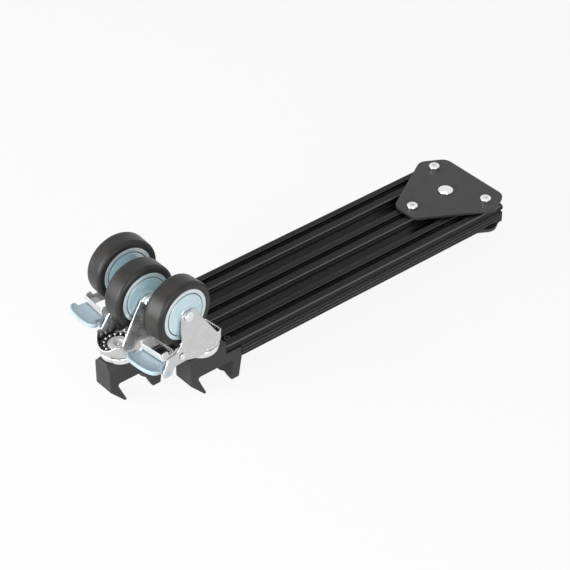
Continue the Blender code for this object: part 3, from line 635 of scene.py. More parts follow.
class Finish:
    """Nodes of a material, or of the world: one shader and what feeds it."""

    def __init__(self, name, owner=None):
        self.material = owner or bpy.data.materials.new(name)
        self.material.use_nodes = True
        self.tree = self.material.node_tree
        self.tree.nodes.clear()

    def node(self, kind, settings=None, inputs=None, output=0):
        """Add a node: its settings first, then its sockets' values or links."""
        made = self.tree.nodes.new(kind)
        for key, value in (settings or {}).items():
            setattr(made, key, value)
        for key, value in (inputs or {}).items():
            if isinstance(value, Signal):
                self.tree.links.new(value.socket, made.inputs[key])
            elif isinstance(value, tuple) and made.inputs[key].type == "RGBA":
                made.inputs[key].default_value = (*value, 1.0)
            else:
                made.inputs[key].default_value = value
        return Signal(self, made.outputs[output]) if made.outputs else None

    def noise(self, per_metre, detail=3.0, roughness=0.5, stretch=(1.0, 1.0, 1.0)):
        """Noise on Object coordinates: features 1 / per_metre across, stretched along each axis."""
        where = self.node("ShaderNodeTexCoord", output="Object")
        place = self.node("ShaderNodeVectorMath", {"operation": "MULTIPLY"}, {0: where, 1: stretch})
        values = {"Scale": per_metre, "Detail": detail, "Roughness": roughness, "Vector": place}
        return self.node("ShaderNodeTexNoise", {}, values)

    def mask(self, signal, low, high):
        """Signal stretched so that low becomes 0 and high 1, held there."""
        limits = {"From Min": low, "From Max": high, "Value": signal}
        return self.node("ShaderNodeMapRange", {"clamp": True}, limits)

    def patches(self, per_metre, detail=3.0, low=0.3, high=0.7, roughness=0.5):
        """Soft patches, 0 to 1."""
        return self.mask(self.noise(per_metre, detail, roughness), low, high)

    def blend(self, share, first, second):
        """Colour between two, by share."""
        inputs = {0: share, 6: first, 7: second}
        return self.node("ShaderNodeMix", {"data_type": "RGBA"}, inputs, output=2)

    def surface(self, share, colours, roughness, height=None, depth=0, **sockets):
        """Finish with the Principled shader: two colours blended by share, and a relief.

        The relief is height times depth, in millimetres. Underscores in the names of further
        sockets stand for spaces.
        """
        inputs = {key.replace("_", " "): value for key, value in sockets.items()}
        inputs["Base Color"] = self.blend(share, *colours)
        inputs["Roughness"] = roughness
        if height:
            relief = {"Height": height, "Distance": depth * MM, "Strength": 1.0}
            inputs["Normal"] = self.node("ShaderNodeBump", {}, relief)
        shader = self.node("ShaderNodeBsdfPrincipled", {}, inputs)
        self.node("ShaderNodeOutputMaterial", {}, {"Surface": shader})
        return self.material


def tyre_rubber():
    """Warm dark grey rubber: soft scuffed patches and a fine moulded grain."""
    finish = Finish("tyre_rubber")
    cloud = finish.patches(70, 4.0, 0.35, 0.68)
    grain = finish.noise(1500, 2.0)
    colours = (0.014, 0.0135, 0.013), (0.026, 0.0245, 0.023)
    roughness = 0.30 + 0.10 * cloud + 0.06 * grain
    relief = grain + 0.5 * cloud
    return finish.surface(cloud, colours, roughness, relief, 0.10, Specular_IOR_Level=0.32)


def blue_plastic(name, low, high, shine):
    """Pale blue moulded plastic with a faint mottle and a glossy skin over it."""
    finish = Finish(name)
    mottle = finish.patches(45)
    relief = finish.noise(1100, 2.0) + 0.8 * mottle
    gloss = {"Specular_IOR_Level": 1.0, "Coat_Weight": shine, "Coat_Roughness": 0.2, "Coat_IOR": 2.2}
    return finish.surface(mottle, (low, high), 0.26 + 0.08 * mottle, relief, 0.05, **gloss)


def zinc_plate(name, haze, metal, tone):
    """Bright zinc on steel: cloudy, with faint rolling marks, and as hazy as given."""
    finish = Finish(name)
    cloud = finish.patches(90, 5.0, 0.3, 0.72, 0.6)
    marks = finish.noise(900, 3.0, 0.55, (1.0, 0.16, 1.0))
    colours = (tone,) * 3, (tone + 0.07,) * 3
    roughness = haze + 0.10 * cloud + 0.06 * marks
    return finish.surface(cloud, colours, roughness, marks + 0.6 * cloud, 0.04, Metallic=metal)


def chrome_plate():
    """Chromed steel with a slight haze."""
    finish = Finish("chrome_plate")
    haze = finish.patches(140, 4.0, 0.35)
    colours = (0.74, 0.74, 0.75), (0.86, 0.86, 0.87)
    return finish.surface(haze, colours, 0.10 + 0.12 * haze, haze, 0.03, Metallic=1.0)


def greased_race():
    """Dark greased steel behind the balls."""
    finish = Finish("greased_race")
    smear = finish.patches(260, 4.0, 0.35, 0.65)
    colours = (0.008, 0.008, 0.008), (0.045, 0.043, 0.040)
    return finish.surface(smear, colours, 0.22 + 0.2 * smear, smear, 0.2)


def cradle_plastic():
    """Charcoal moulded plastic with a spark-eroded grain."""
    finish = Finish("charcoal_plastic")
    cloud = finish.patches(35)
    grain = finish.noise(1700, 3.0, 0.6)
    colours = (0.016, 0.016, 0.0165), (0.024, 0.024, 0.0245)
    return finish.surface(cloud, colours, 0.50 + 0.10 * cloud + 0.10 * grain, grain, 0.12)


def rail_anodising():
    """Black anodised aluminium with fine lines along the rail, and a painted highlight on its rounded
    edges.

    The painted highlight is a brighter base colour where the surface leans upwards: its normal's upward
    part lies between 0.15 and 0.98.
    """
    finish = Finish("black_anodised_rail")
    lines = finish.noise(1400, 3.0, 0.6, (1.0, 0.012, 1.0))
    cloud = finish.patches(30)
    dyed = finish.blend(cloud, (0.003, 0.003, 0.0032), (0.006, 0.006, 0.0063))
    normal = finish.node("ShaderNodeNewGeometry", output="Normal")
    upward = finish.node("ShaderNodeSeparateXYZ", {}, {0: normal}, output=2)
    # painted highlight: upward-leaning faces, such as the rail's rounded top edges, get a brighter base
    # colour where the lamps' reflection would show
    painted_highlight = finish.mask(upward, 0.15, 0.6) * (1 - finish.mask(upward, 0.86, 0.98)) * 0.95
    colours = dyed, (0.13, 0.13, 0.133)
    roughness = 0.25 + 0.10 * lines + 0.06 * cloud
    return finish.surface(painted_highlight, colours, roughness, lines, 0.06, Specular_IOR_Level=0.16)


def powder_coat():
    """Black powder coat with its orange-peel skin."""
    finish = Finish("black_powder_coat")
    peel = finish.noise(650, 2.0)
    colours = (0.017, 0.017, 0.018), (0.030, 0.030, 0.031)
    return finish.surface(finish.patches(40), colours, 0.40 + 0.10 * peel, peel, 0.18)


def bush_nylon():
    """Grey nylon of the pivot bushes."""
    finish = Finish("grey_nylon")
    cloud = finish.patches(120)
    return finish.surface(cloud, ((0.27, 0.27, 0.26), (0.34, 0.34, 0.33)), 0.45 + 0.1 * cloud)


def black_oxide():
    """Black oxide on the socket screws."""
    finish = Finish("black_oxide")
    cloud = finish.patches(400)
    colours = (0.022, 0.022, 0.023), (0.045, 0.044, 0.044)
    return finish.surface(cloud, colours, 0.28 + 0.15 * cloud, Metallic=0.7)


RUBBER = tyre_rubber()
DISC_BLUE = blue_plastic("pale_blue_disc", (0.38, 0.565, 0.63), (0.44, 0.615, 0.68), 1.0)
RING_BLUE = blue_plastic("grey_blue_ring", (0.50, 0.60, 0.645), (0.56, 0.65, 0.69), 0.9)
PEDAL_BLUE = blue_plastic("pale_blue_pedal", (0.31, 0.415, 0.485), (0.355, 0.46, 0.525), 0.12)
ZINC = zinc_plate("bright_zinc", 0.2, 1.0, 0.57)
SATIN = zinc_plate("satin_zinc", 0.36, 0.55, 0.55)
# Kingpin's zinc with painted light: a near-white, almost matte copy of the zinc that paints in the
# bright reflection on the flange
PAINTED_LIGHT_ZINC = zinc_plate("pale_zinc", 0.35, 0.05, 0.9)
CHROME = chrome_plate()
RACE = greased_race()
CHARCOAL = cradle_plastic()
ANODISED = rail_anodising()
POWDER = powder_coat()
NYLON = bush_nylon()
OXIDE = black_oxide()


# Fork and its mounting


def flare(height):
    """How far a cheek stands out at a height: the full flare below, none above, straight between."""
    return CHEEK_FLARE * soft_share((FLARE_TOP - height) / (FLARE_TOP - FLARE_LOW))


def flared(points):
    """Move points outwards by the flare at their height, each to its own side."""
    points[:, 0] += np.sign(points[:, 0]) * flare(points[:, 2])
    return points


def bent(shape, low, high):
    """Slice a shape between two heights, so that it can bend there, and bend it by the flare."""
    return changed(sliced(shape, {2: np.arange(low, high, BEND_STEP)}), flared)


def dish_radius(turn, height):
    """Outer radius of the dish: the lesser of a slightly conical cup and the leaning cheek plane.

    The plane's distance is plane / |sin turn|, with turn counted from the front.
    """
    draft = 1 - ease((height - FORK_SEAT) / DISH_WALL_HEIGHT)
    cup = DISH_RADIUS - (DISH_RADIUS - DISH_FOOT_RADIUS) * draft
    lean = 1 - ease((height - FORK_SEAT) / (FLARE_LOW - FORK_SEAT))
    plane = CHEEK_INNER + SHEET + flare(np.maximum(height, FLARE_LOW)) + WALL_LEAN * lean
    return np.minimum(cup, plane / np.maximum(np.abs(np.sin(turn)), LEAST_SIDE))


def lip_height(turn):
    """Height of the dish's lip: scooped in front, inside the cheeks at the sides, low at the rear."""
    place = -DISH_RADIUS * np.cos(turn)
    front = np.minimum(LIP_LOW + LIP_RISE * (1 - np.cos(turn)), LIP_HIGH)
    side = ease((place + LIP_TURN) / FRONT_FADE)
    rear = ease((place - LIP_TURN) / REAR_FADE)
    return (1 - side) * front + side * ((1 - rear) * SIDE_LIP + rear * REAR_LIP)


def fork_dish():
    """Closed dish of sheet: floor with ball race, rounded foot, wall up to the scooped lip.

    Each column of the grid is one closed section at an angle; walls run at dish_radius(angle, z).
    """
    turn = whole_turn(2 * ROUND_STEPS)[:, None]
    bend = quarter(5)[None]
    bore = KINGPIN_RADIUS + SEAT_GAP
    half_sheet = SHEET / 2
    crest = lip_height(turn) - half_sheet

    foot_height = FORK_SEAT + DISH_ROUNDING * (1 - np.cos(bend)) + 0 * turn
    foot = dish_radius(turn, foot_height) - DISH_ROUNDING * (1 - np.sin(bend))
    wall_low = FORK_SEAT + DISH_ROUNDING
    wall_height = wall_low + (crest - wall_low) * np.linspace(0, 1, 12)[None, 1:]
    wall = dish_radius(turn, wall_height)
    over = np.linspace(0, math.pi, 8)[None, 1:-1]
    lip = dish_radius(turn, crest) - half_sheet + half_sheet * np.cos(over)
    over_height = crest + half_sheet * np.sin(over)
    inner_low = FORK_FLOOR + INNER_ROUNDING
    inner_height = crest + (inner_low - crest) * np.linspace(0, 1, 8)[None]
    inner = dish_radius(turn, inner_height) - SHEET
    fillet_height = FORK_FLOOR + INNER_ROUNDING * (1 - np.sin(bend)) + 0 * turn
    fillet = dish_radius(turn, fillet_height) - SHEET - INNER_ROUNDING * (1 - np.cos(bend))
    race = np.array([
        (RACE_OUTER, 0), (RACE_OUTER - FINE_EDGE, -RACE_DEPTH), (RACE_INNER + FINE_EDGE, -RACE_DEPTH),
        (RACE_INNER, 0), (bore, 0),
    ])
    floor = race[None, :, 0] + 0 * turn
    floor_height = FORK_FLOOR + race[None, :, 1] + 0 * turn
    under = np.array([bore, DISH_FOOT_RADIUS - 2 * DISH_ROUNDING])[None] + 0 * turn
    under_height = 0 * under + FORK_SEAT

    radius = np.concatenate([under, foot, wall, lip, inner, fillet[:, 1:], floor], axis=1)
    outside = [under_height, foot_height, wall_height, over_height]
    height = np.concatenate([*outside, inner_height, fillet_height[:, 1:], floor_height], axis=1)
    return skin(np.stack([radius * np.sin(turn), -radius * np.cos(turn), height], axis=-1))


def cheek(sign):
    """One cheek with its pedal arm: a flat sheet of its side outline, bent out by the flare."""
    near, far = sorted((sign * CHEEK_INNER, sign * (CHEEK_INNER + SHEET + CHEEK_SEAM)))
    plate = sideways(slab(rounded(CHEEK_OUTLINE), near, far, SHEET_EDGE))
    return bent(plate, BEND_LOW, BEND_HIGH)


def swivel_balls():
    """A ring of balls in the race: each a grid of latitude and longitude."""
    latitude = np.linspace(-math.pi / 2, math.pi / 2, 9)[None]
    longitude = whole_turn(14)[:, None]
    ring = BALL_RADIUS * np.cos(latitude)
    rise = BALL_RADIUS * np.sin(latitude) + 0 * longitude
    points = np.stack([ring * np.cos(longitude), ring * np.sin(longitude), rise], axis=-1)
    ball = skin(points, closed_columns=False)
    places = circle(BALL_CIRCLE, steps=BALL_COUNT)
    return joined(*[shifted(ball, (*place, BALL_HEIGHT)) for place in places])


def ball_cage():
    """The dark ring that holds the balls apart."""
    middle = BALL_HEIGHT - CAGE_DROP
    low, high = middle - CAGE_HALF_HEIGHT, middle + CAGE_HALF_HEIGHT
    inner, outer = RACE_INNER + SEAT_GAP, RACE_OUTER - SEAT_GAP
    return lathe([(inner, low), (outer, low), (outer, high), (inner, high)])


def caster_cup():
    """Bowl under the dish: its wall widens by (sin a)^spread and climbs by (1 - cos a)^climb."""
    bore = KINGPIN_RADIUS + SEAT_GAP
    low, high = SEAT_GAP, SEAT_GAP + CUP_HEIGHT
    lip_low = high - CUP_LIP_ROUNDING
    turn = quarter(7)
    start = CUP_FOOT_RADIUS - CUP_FOOT_ROUNDING * CUP_FOOT_SHARE
    wall_radius = start + (CUP_TOP_RADIUS - start) * np.sin(turn) ** CUP_SPREAD
    wall_height = low + (lip_low - low) * (1 - np.cos(turn)) ** CUP_CLIMB
    lip = arc_between((CUP_TOP_RADIUS - CUP_LIP_ROUNDING, lip_low), CUP_LIP_ROUNDING, 0, 90, 7)
    return lathe([(bore, low), *zip(wall_radius, wall_height), *lip[1:], (bore, high)])


def kingpin():
    """Flanged pin: its round recess holds the domed end of the rivet."""
    floor = FORK_FLOOR + SEAT_GAP
    top = floor + FLANGE_HEIGHT
    low = top - RECESS_DEPTH
    corner = (FLANGE_RADIUS - KINGPIN_CHAMFER, top - KINGPIN_CHAMFER)
    return lathe([
        *dome(RIVET_RADIUS, low, RIVET_RISE, 5), (RECESS_RADIUS - RECESS_DRAFT, low),
        (RECESS_RADIUS - RECESS_DRAFT / 3, top - EDGE), (RECESS_RADIUS + EDGE, top),
        *arc_between(corner, KINGPIN_CHAMFER, 90, 0, 5), (FLANGE_RADIUS, floor),
        (KINGPIN_RADIUS, floor), (KINGPIN_RADIUS, 2 * KINGPIN_END - KINGPIN_DEPTH),
        (KINGPIN_RADIUS - KINGPIN_END, -KINGPIN_DEPTH), (0, -KINGPIN_DEPTH),
    ])


# Wheel


def on_axle(profile, steps=TYRE_STEPS, swell=None):
    """Turn a profile about the wheel's axle."""
    return sideways(lathe(profile, steps, swell), (0, TRAIL, AXLE_HEIGHT))


def tyre():
    """Rubber tread with full round shoulders and a slight crown."""
    inner = RIM_RADIUS + SEAT_GAP
    centre = WHEEL_RADIUS - SHOULDER
    side = HALF_TREAD - SHOULDER
    return on_axle([
        (inner, FINE_EDGE - HALF_TREAD), (inner + EDGE, -HALF_TREAD),
        *arc_between((centre, -side), SHOULDER, -90, -CROWN_START, 9), (WHEEL_RADIUS, -side / 2),
        (WHEEL_RADIUS, side / 2), *arc_between((centre, side), SHOULDER, CROWN_START, 90, 9),
        (inner + EDGE, HALF_TREAD), (inner, HALF_TREAD - FINE_EDGE),
    ])


def rim():
    """Wheel core: outer ring with rounded edges, web and hub."""
    ring = RIM_RADIUS - RIM_RING
    corner = HALF_TREAD - RIM_EDGE
    half = [
        (AXLE_RADIUS + SEAT_GAP, RIM_HUB_END), (RIM_HUB_RADIUS, RIM_HUB_END),
        (RIM_HUB_RADIUS + RIM_HUB_FILLET, RIM_WEB), (ring, RIM_WEB),
        *arc_between((ring + RIM_EDGE, corner), RIM_EDGE, 180, 90, 4),
        *arc_between((RIM_RADIUS - RIM_EDGE, corner), RIM_EDGE, 90, 0, 4),
    ]
    return on_axle(both_ends(half))


def thread_guard(sign):
    """Cover disc: gently domed, height by sin of the way in, up to a raised boss round the axle."""
    radius = RIM_RADIUS - RIM_RING - GUARD_GROOVE
    bore = AXLE_RADIUS + SEAT_GAP
    share = np.linspace(0, 1, 9)
    start = radius - WIDE_EDGE
    dome_radius = start + (RIM_HUB_RADIUS + BOSS_FOOT - start) * share
    dome_height = GUARD_RIM + (GUARD_FACE + GUARD_DOME - GUARD_RIM) * np.sin(share * math.pi / 2)
    profile = [
        (bore, GUARD_BACK), (radius, GUARD_BACK), (radius, GUARD_RIM - EDGE),
        *zip(dome_radius, dome_height), (RIM_HUB_RADIUS + WIDE_EDGE, GUARD_FACE + WIDE_EDGE),
        (RIM_HUB_RADIUS, BOSS_FACE - FINE_EDGE), (RIM_HUB_RADIUS - EDGE, BOSS_FACE),
        (bore, BOSS_FACE),
    ]
    return on_axle([(r, sign * h) for r, h in profile])


def axle_bolt():
    """Axle with a domed head on one side and a chamfered thread end on the other."""
    shoulder = AXLE_FACE + AXLE_HEAD_SIDE
    crown = AXLE_HEAD_HEIGHT - AXLE_HEAD_SIDE
    end = AXLE_FACE + NUT_HEIGHT + THREAD_END
    profile = [
        *dome(AXLE_HEAD_RADIUS, -shoulder, -crown, 8),
        (AXLE_HEAD_RADIUS, -AXLE_FACE), (AXLE_RADIUS, -AXLE_FACE),
        (AXLE_RADIUS, end - THREAD_CHAMFER_LENGTH), (AXLE_RADIUS - THREAD_CHAMFER, end), (0, end),
    ]
    return on_axle(profile, SMALL_STEPS)


def axle_nut():
    """Hexagon nut: at each angle the lesser of the hexagon and the chamfer's cone."""
    bore = AXLE_RADIUS + NUT_CLEARANCE
    mouth = bore + EDGE
    low, high = AXLE_FACE, AXLE_FACE + NUT_HEIGHT
    apothem = NUT_RADIUS * math.cos(math.pi / 6)
    profile = [
        (mouth, low), (apothem, low), (NUT_RADIUS, low + NUT_CHAMFER), (NUT_RADIUS, high - NUT_CHAMFER),
        (apothem, high), (mouth, high), (bore, high - EDGE), (bore, low + EDGE),
    ]
    return on_axle(profile, SMALL_STEPS, lambda a, r, h: np.minimum(r, hexagon(a, NUT_RADIUS)))


# Brake


def cheek_inner(height):
    """Inner face of a cheek at a height over the cradle's top."""
    return CHEEK_INNER + float(flare(np.array(float(height))))


def brake_pin():
    """Riveted pin with a low domed head outside each cheek."""
    half = cheek_inner(BRAKE_PIN_HEIGHT - PIN_HEAD_RADIUS) + SHEET + SEAT_GAP
    side = dome(PIN_HEAD_RADIUS, half, PIN_HEAD_HEIGHT, 6) + [(PIN_RADIUS, half)]
    return sideways(lathe(both_ends(side), SMALL_STEPS), BRAKE_PIN_PLACE)


def brake_spring():
    """Round wire wound in a helix about the pin: (pitch t, R cos, R sin) with a round section."""
    plate = cheek_inner(BRAKE_PIN_HEIGHT + SPRING_COIL_RADIUS) - SHOE_SIDE_GAP - SHOE_PLATE
    start = -plate + SPRING_WIRE / 2 + 2 * SEAT_GAP
    turn = np.linspace(0, math.tau * SPRING_TURNS, SPRING_STEPS * SPRING_TURNS + 1)[:, None]
    around = whole_turn(WIRE_STEPS)[None]
    wire = SPRING_WIRE / 2 * np.ones_like(turn)
    wire[[0, -1]] = 0
    reach = SPRING_COIL_RADIUS + wire * np.cos(around)
    across = start + SPRING_PITCH * turn / math.tau + wire * np.sin(around)
    points = np.stack([across, reach * np.cos(turn), reach * np.sin(turn)], axis=-1)
    return shifted(skin(points, closed_rows=False), BRAKE_PIN_PLACE)


def brake_shoe():
    """Bent sheet lever: two side plates and a web across them."""
    outer = CHEEK_INNER - SHOE_SIDE_GAP
    inner = outer - SHOE_PLATE
    rear = PEDAL_PIN_TRAIL + SHOE_REACH - BRAKE_PIN_TRAIL
    low = PEDAL_TOP + SHOE_OVER_PEDAL - BRAKE_PIN_HEIGHT
    ear, riser, turn = SHOE_EAR, rear - RISER_WIDTH, RISER_WIDTH / 3
    plate = rounded([
        (-ear, -ear, 4), (ear, -ear, 3), (riser - RISER_FOOT, low, 3), (rear, low, 0.8),
        (rear, SHOE_RISE, turn), (riser, SHOE_RISE, turn), (riser, low + ear, 2.5),
        (2 * ear, low + ear, 3), (ear, PAD_LOBE, 3), (-PAD_LOBE_FRONT, PAD_LOBE, 3), (-ear, ear, 3),
    ])
    edge = SHOE_PLATE / 4
    hole = [circle(PIN_RADIUS + SEAT_GAP, steps=24)]
    parts = [slab(plate, -outer, -inner, edge, hole), slab(plate, inner, outer, edge, hole)]
    web_top = SHOE_RISE - 2 * SHOE_PLATE
    front, back = rear - SHOE_PLATE, rear - WEB_INSET
    web = rounded([(front, low), (back, low), (back, web_top), (front, web_top)], 0.4)
    across = inner + SHOE_PLATE / 2
    parts.append(slab(web, -across, across, WEB_EDGE))
    lever = sideways(joined(*parts), BRAKE_PIN_PLACE)
    return bent(lever, FLARE_LOW, AXLE_HEIGHT - BRAKE_PIN_HEIGHT)


def brake_pad():
    """Curved pad between the lever's plates: an arc of the tread's circle, a gap away from it."""
    across = CHEEK_INNER - SHOE_SIDE_GAP - SHOE_PLATE / 2
    centre = (TRAIL - BRAKE_PIN_TRAIL, AXLE_HEIGHT - BRAKE_PIN_HEIGHT)
    near = WHEEL_RADIUS + SHOE_GAP
    pad = arc_between(centre, near, PAD_FROM, PAD_TO, 8)
    pad += arc_between(centre, near + PAD_THICKNESS, PAD_TO, PAD_FROM, 8)
    return changed(sideways(slab(pad, -across, across, PAD_EDGE), BRAKE_PIN_PLACE), flared)


def pedal_outline():
    """Top view of the blade: a neck between the arms, then wings whose nose is a squared ellipse.

    The nose is (wing |cos a|^p, start + bulge (sin a)^q).
    """
    neck = cheek_inner(PEDAL_TOP) - 3 * SEAT_GAP
    root = -PIN_RADIUS
    start = WING_START
    angle = np.linspace(0, math.pi, NOSE_STEPS + 1)
    bend = np.cos(angle)
    across = PEDAL_HALF * np.sign(bend) * np.abs(bend) ** WING_ROUNDNESS
    along = start + 1 + (PEDAL_LENGTH - start - 1) * np.sin(angle) ** NOSE_ROUNDNESS
    nose = [(x, y, 0) for x, y in zip(across, along)]
    return rounded([
        (-neck, start, 2), (-neck, root, PEDAL_CORNER), (neck, root, PEDAL_CORNER),
        (neck, start, 2), (PEDAL_HALF, start, PEDAL_CORNER), *nose[1:-1],
        (-PEDAL_HALF, start, PEDAL_CORNER),
    ])


def pedal_blade():
    """Blade with rounded edges, a raised rim and a shallow dish, on its barrel and trunnions."""
    outline = pedal_outline()
    blade = slab(outline, PEDAL_UNDERSIDE, PEDAL_TOP - PEDAL_DISH, PEDAL_EDGE)
    neck = outline[0, 0] + PEDAL_CORNER
    back, front = -PIN_RADIUS, PEDAL_FOOT_REACH
    corners = [(neck, back), (-neck, back), (-neck, front), (neck, front)]
    foot_outline = rounded(corners, PEDAL_CORNER)
    foot = slab(foot_outline, PEDAL_FOOT, PEDAL_UNDERSIDE + PEDAL_EDGE, EDGE)
    rim_path = [(inset, PEDAL_TOP - below) for inset, below in RIM_PATH]
    half = cheek_inner(PEDAL_PIN_HEIGHT + BARREL_RADIUS) - SEAT_GAP
    end = cheek_inner(FLARE_LOW) + SHEET + TRUNNION_END
    side = [
        (0, end), (PIN_RADIUS - EDGE, end), (PIN_RADIUS, end - EDGE), (PIN_RADIUS, half),
        (BARREL_RADIUS - WIDE_EDGE, half), (BARREL_RADIUS, half - WIDE_EDGE),
    ]
    barrel = sideways(lathe(both_ends(side), SMALL_STEPS), (0, 0, PEDAL_PIN_HEIGHT))
    body = joined(blade, foot, barrel, raised_rim(outline, rim_path))
    return shifted(body, (0, PEDAL_PIN_TRAIL, 0))


def raised_rim(outline, path):
    """A bead along the nose: the rim path's outside, back down on its inside.

    Behind the wings it sinks into the blade by depth * (1 - ease((y - start) / fade)).
    """
    loop = oriented(np.array(outline, float), True)
    out = np.array(path)
    middle = (PEDAL_RIM + out[-1, 0]) / 2
    back = out[::-1].copy()
    back[:, 0] = 2 * middle - back[:, 0]
    rim = np.concatenate([out, back[:-1], [[back[-1, 0], out[0, 1]]]])
    inset, height = rim.T
    along = mitres(loop)
    length = np.linalg.norm(along, axis=1, keepdims=True)
    along = along / np.maximum(length / MITRE_LIMIT, 1)
    rings = loop[None] - along[None] * inset[:, None, None]
    shown = ease((loop[:, 1] - WING_START) / RIM_FADE)[None, :, None]
    level = height[:, None, None] - RIM_SUNK * (1 - shown)
    return skin(np.concatenate([rings, level], axis=2))


# Leg


def shaped_cradle(points):
    """Round the head's shoulders off towards its end, and cut the claws' tips to a notch.

    Half width at height z: half - R + sqrt(R^2 - (z - top + R)^2), with R fading along the block.
    Tips: z is lifted to depth * (1 - |x| / half notch).
    """
    half = LEG_WIDTH / 2
    fade = 1 - ease(points[:, 1] / SHOULDER_FADE)
    radius = SHOULDER_LEAST + (SHOULDER_ROUNDING - SHOULDER_LEAST) * fade
    above = np.clip(points[:, 2] - (CRADLE_TOP - radius), 0, radius)
    width = half - radius + np.sqrt(np.maximum(radius ** 2 - above ** 2, 0))
    head = points[:, 1] < HEAD_LENGTH + SEAT_GAP
    limit = np.where(head, width, half)
    points[:, 0] = np.sign(points[:, 0]) * np.minimum(np.abs(points[:, 0]), limit)
    notch = NOTCH_DEPTH * (1 - np.abs(points[:, 0]) / NOTCH_HALF_WIDTH)
    points[:, 2] = np.maximum(points[:, 2], notch)
    return points


def cradle():
    """Foot block with two hooked claws."""
    half = LEG_WIDTH / 2
    stations = np.array([-1, -0.5, 0, 0.5, 1]) * NOTCH_HALF_WIDTH
    block = sideways(slab(rounded(CRADLE_OUTLINE), -half, half, CRADLE_EDGE, stations=stations))
    heights = CRADLE_TOP - SHOULDER_ROUNDING * (1 - np.sin(quarter(6)))
    cuts = {1: np.linspace(1, SHOULDER_FADE, 9), 2: [*heights[:-1], 2, NOTCH_DEPTH]}
    return changed(sliced(block, cuts), shaped_cradle)


def rail_half(lowest):
    """Right half of the rail's section, (across, height, rounding), from the slot to a lowest height."""
    half = LEG_WIDTH / 2
    bead_low = RAIL_TOP - BEAD_HEIGHT
    groove_low = bead_low - GROOVE_HEIGHT
    slot = SLOT_WIDTH / 2
    side = [
        (slot, RAIL_TOP - SLOT_DEPTH, 0.3), (slot, RAIL_TOP, 0.5), (half, RAIL_TOP, BEAD_ROUNDING),
        (half, bead_low, BEAD_ROUNDING), (half - GROOVE_DEPTH, bead_low, 0.5),
    ]
    if lowest > groove_low:
        return side + [(half - GROOVE_DEPTH, lowest, 0)]
    side += [(half - GROOVE_DEPTH, groove_low, 0.5), (half, groove_low, 0.7)]
    for place in RIB_PLACES:
        side += [
            (half, place + RIB_HEIGHT, 0.2), (half - RIB_DEPTH, place + RIB_HEIGHT / 2, 0.1),
            (half, place, 0.2),
        ]
    return side + [(half, RAIL_BOTTOM, 0.8)]


def rail_length(low_half, start, end, chamber=False):
    """A stretch of rail: its section carried along the leg."""
    mirrored = [(-corner[0],) + corner[1:] for corner in reversed(low_half)]
    outline = rounded(low_half + mirrored, steps=5)
    holes = []
    if chamber:
        inside = LEG_WIDTH / 2 - GROOVE_DEPTH - RAIL_WALL
        low = RAIL_BOTTOM + RAIL_WALL
        high = RAIL_TOP - SLOT_DEPTH - RAIL_WALL
        corners = [(-inside, low), (inside, low), (inside, high), (-inside, high)]
        holes.append(rounded(corners, CHAMBER_ROUNDING, 3))
    points, faces = slab(outline, start, end, RAIL_EDGE, holes)
    return points[:, [0, 2, 1]], faces


def rail(length):
    """Extruded rail, cut back over the cradle's shoe."""
    over = rail_length(rail_half(SHOE_TOP + SEAT_GAP), HEAD_LENGTH + SEAT_GAP, SHOE_LENGTH + RAIL_LAP)
    full = rail_length(rail_half(0), SHOE_LENGTH + SEAT_GAP, length, chamber=True)
    return joined(over, full)


def socket_screw():
    """Socket screw in the rail's slot, its socket a hexagon in the head."""
    seat = RAIL_TOP - SLOT_DEPTH + SEAT_GAP
    top = seat + SCREW_HEAD_HEIGHT
    head, socket_floor = SCREW_HEAD_RADIUS, top - SCREW_SOCKET_DEPTH
    profile = [
        (0, socket_floor), (SCREW_SOCKET, socket_floor), (SCREW_SOCKET, top), (head - EDGE, top),
        (head, top - EDGE), (head, seat), (SCREW_RADIUS, seat), (SCREW_RADIUS, SCREW_END),
        (0, SCREW_END),
    ]
    return shifted(lathe(profile, SMALL_STEPS, hex_socket(SCREW_SOCKET)), (0, SCREW_PLACE, 0))


def pivot_bush():
    """Plain bush with chamfered ends."""
    bore, end = BOLT_RADIUS + SEAT_GAP, BUSH_RADIUS - FINE_EDGE
    profile = [
        (bore, RAIL_BOTTOM), (end, RAIL_BOTTOM), (BUSH_RADIUS, RAIL_BOTTOM + FINE_EDGE),
        (BUSH_RADIUS, RAIL_TOP - FINE_EDGE), (end, RAIL_TOP), (bore, RAIL_TOP),
    ]
    return lathe(profile, SMALL_STEPS)


# Hub


def pivot_place(sign):
    """Side leg's pivot in the hub's frame: on its open direction, a little off its line."""
    along = np.array([math.cos(OPEN_ANGLE), math.sin(OPEN_ANGLE)])
    across = np.array([-along[1], along[0]])
    place = along * PIVOT_RADIUS - across * PIVOT_OFFSET
    return np.array([sign * place[0], place[1]])


BOLT_PLACES = {
    "left_pivot_bolt": pivot_place(-1),
    "right_pivot_bolt": pivot_place(1),
    "middle_leg_bolt": np.array([0, -MIDDLE_BOLT_REACH]),
}


def hub_plate(low):
    """Three-cornered plate with a round corner over each leg and four holes."""
    reach = PIVOT_RADIUS + CORNER_WIDTH
    corners = []
    for angle in OPEN_ANGLE + math.tau * np.arange(3) / 3:
        tip = np.array([math.cos(angle), math.sin(angle)]) * reach
        tangent = np.array([-math.sin(angle), math.cos(angle)])
        for direction in (-1, 1):
            corners.append(tuple(tip + tangent * direction * CORNER_WIDTH))
    outline = rounded(corners, PLATE_ROUNDING, 12)
    holes = [circle(STUD_RADIUS + SEAT_GAP)]
    holes += [circle(BOLT_RADIUS + SEAT_GAP, place) for place in BOLT_PLACES.values()]
    return slab(outline, low, low + PLATE_THICKNESS, PLATE_EDGE, holes)


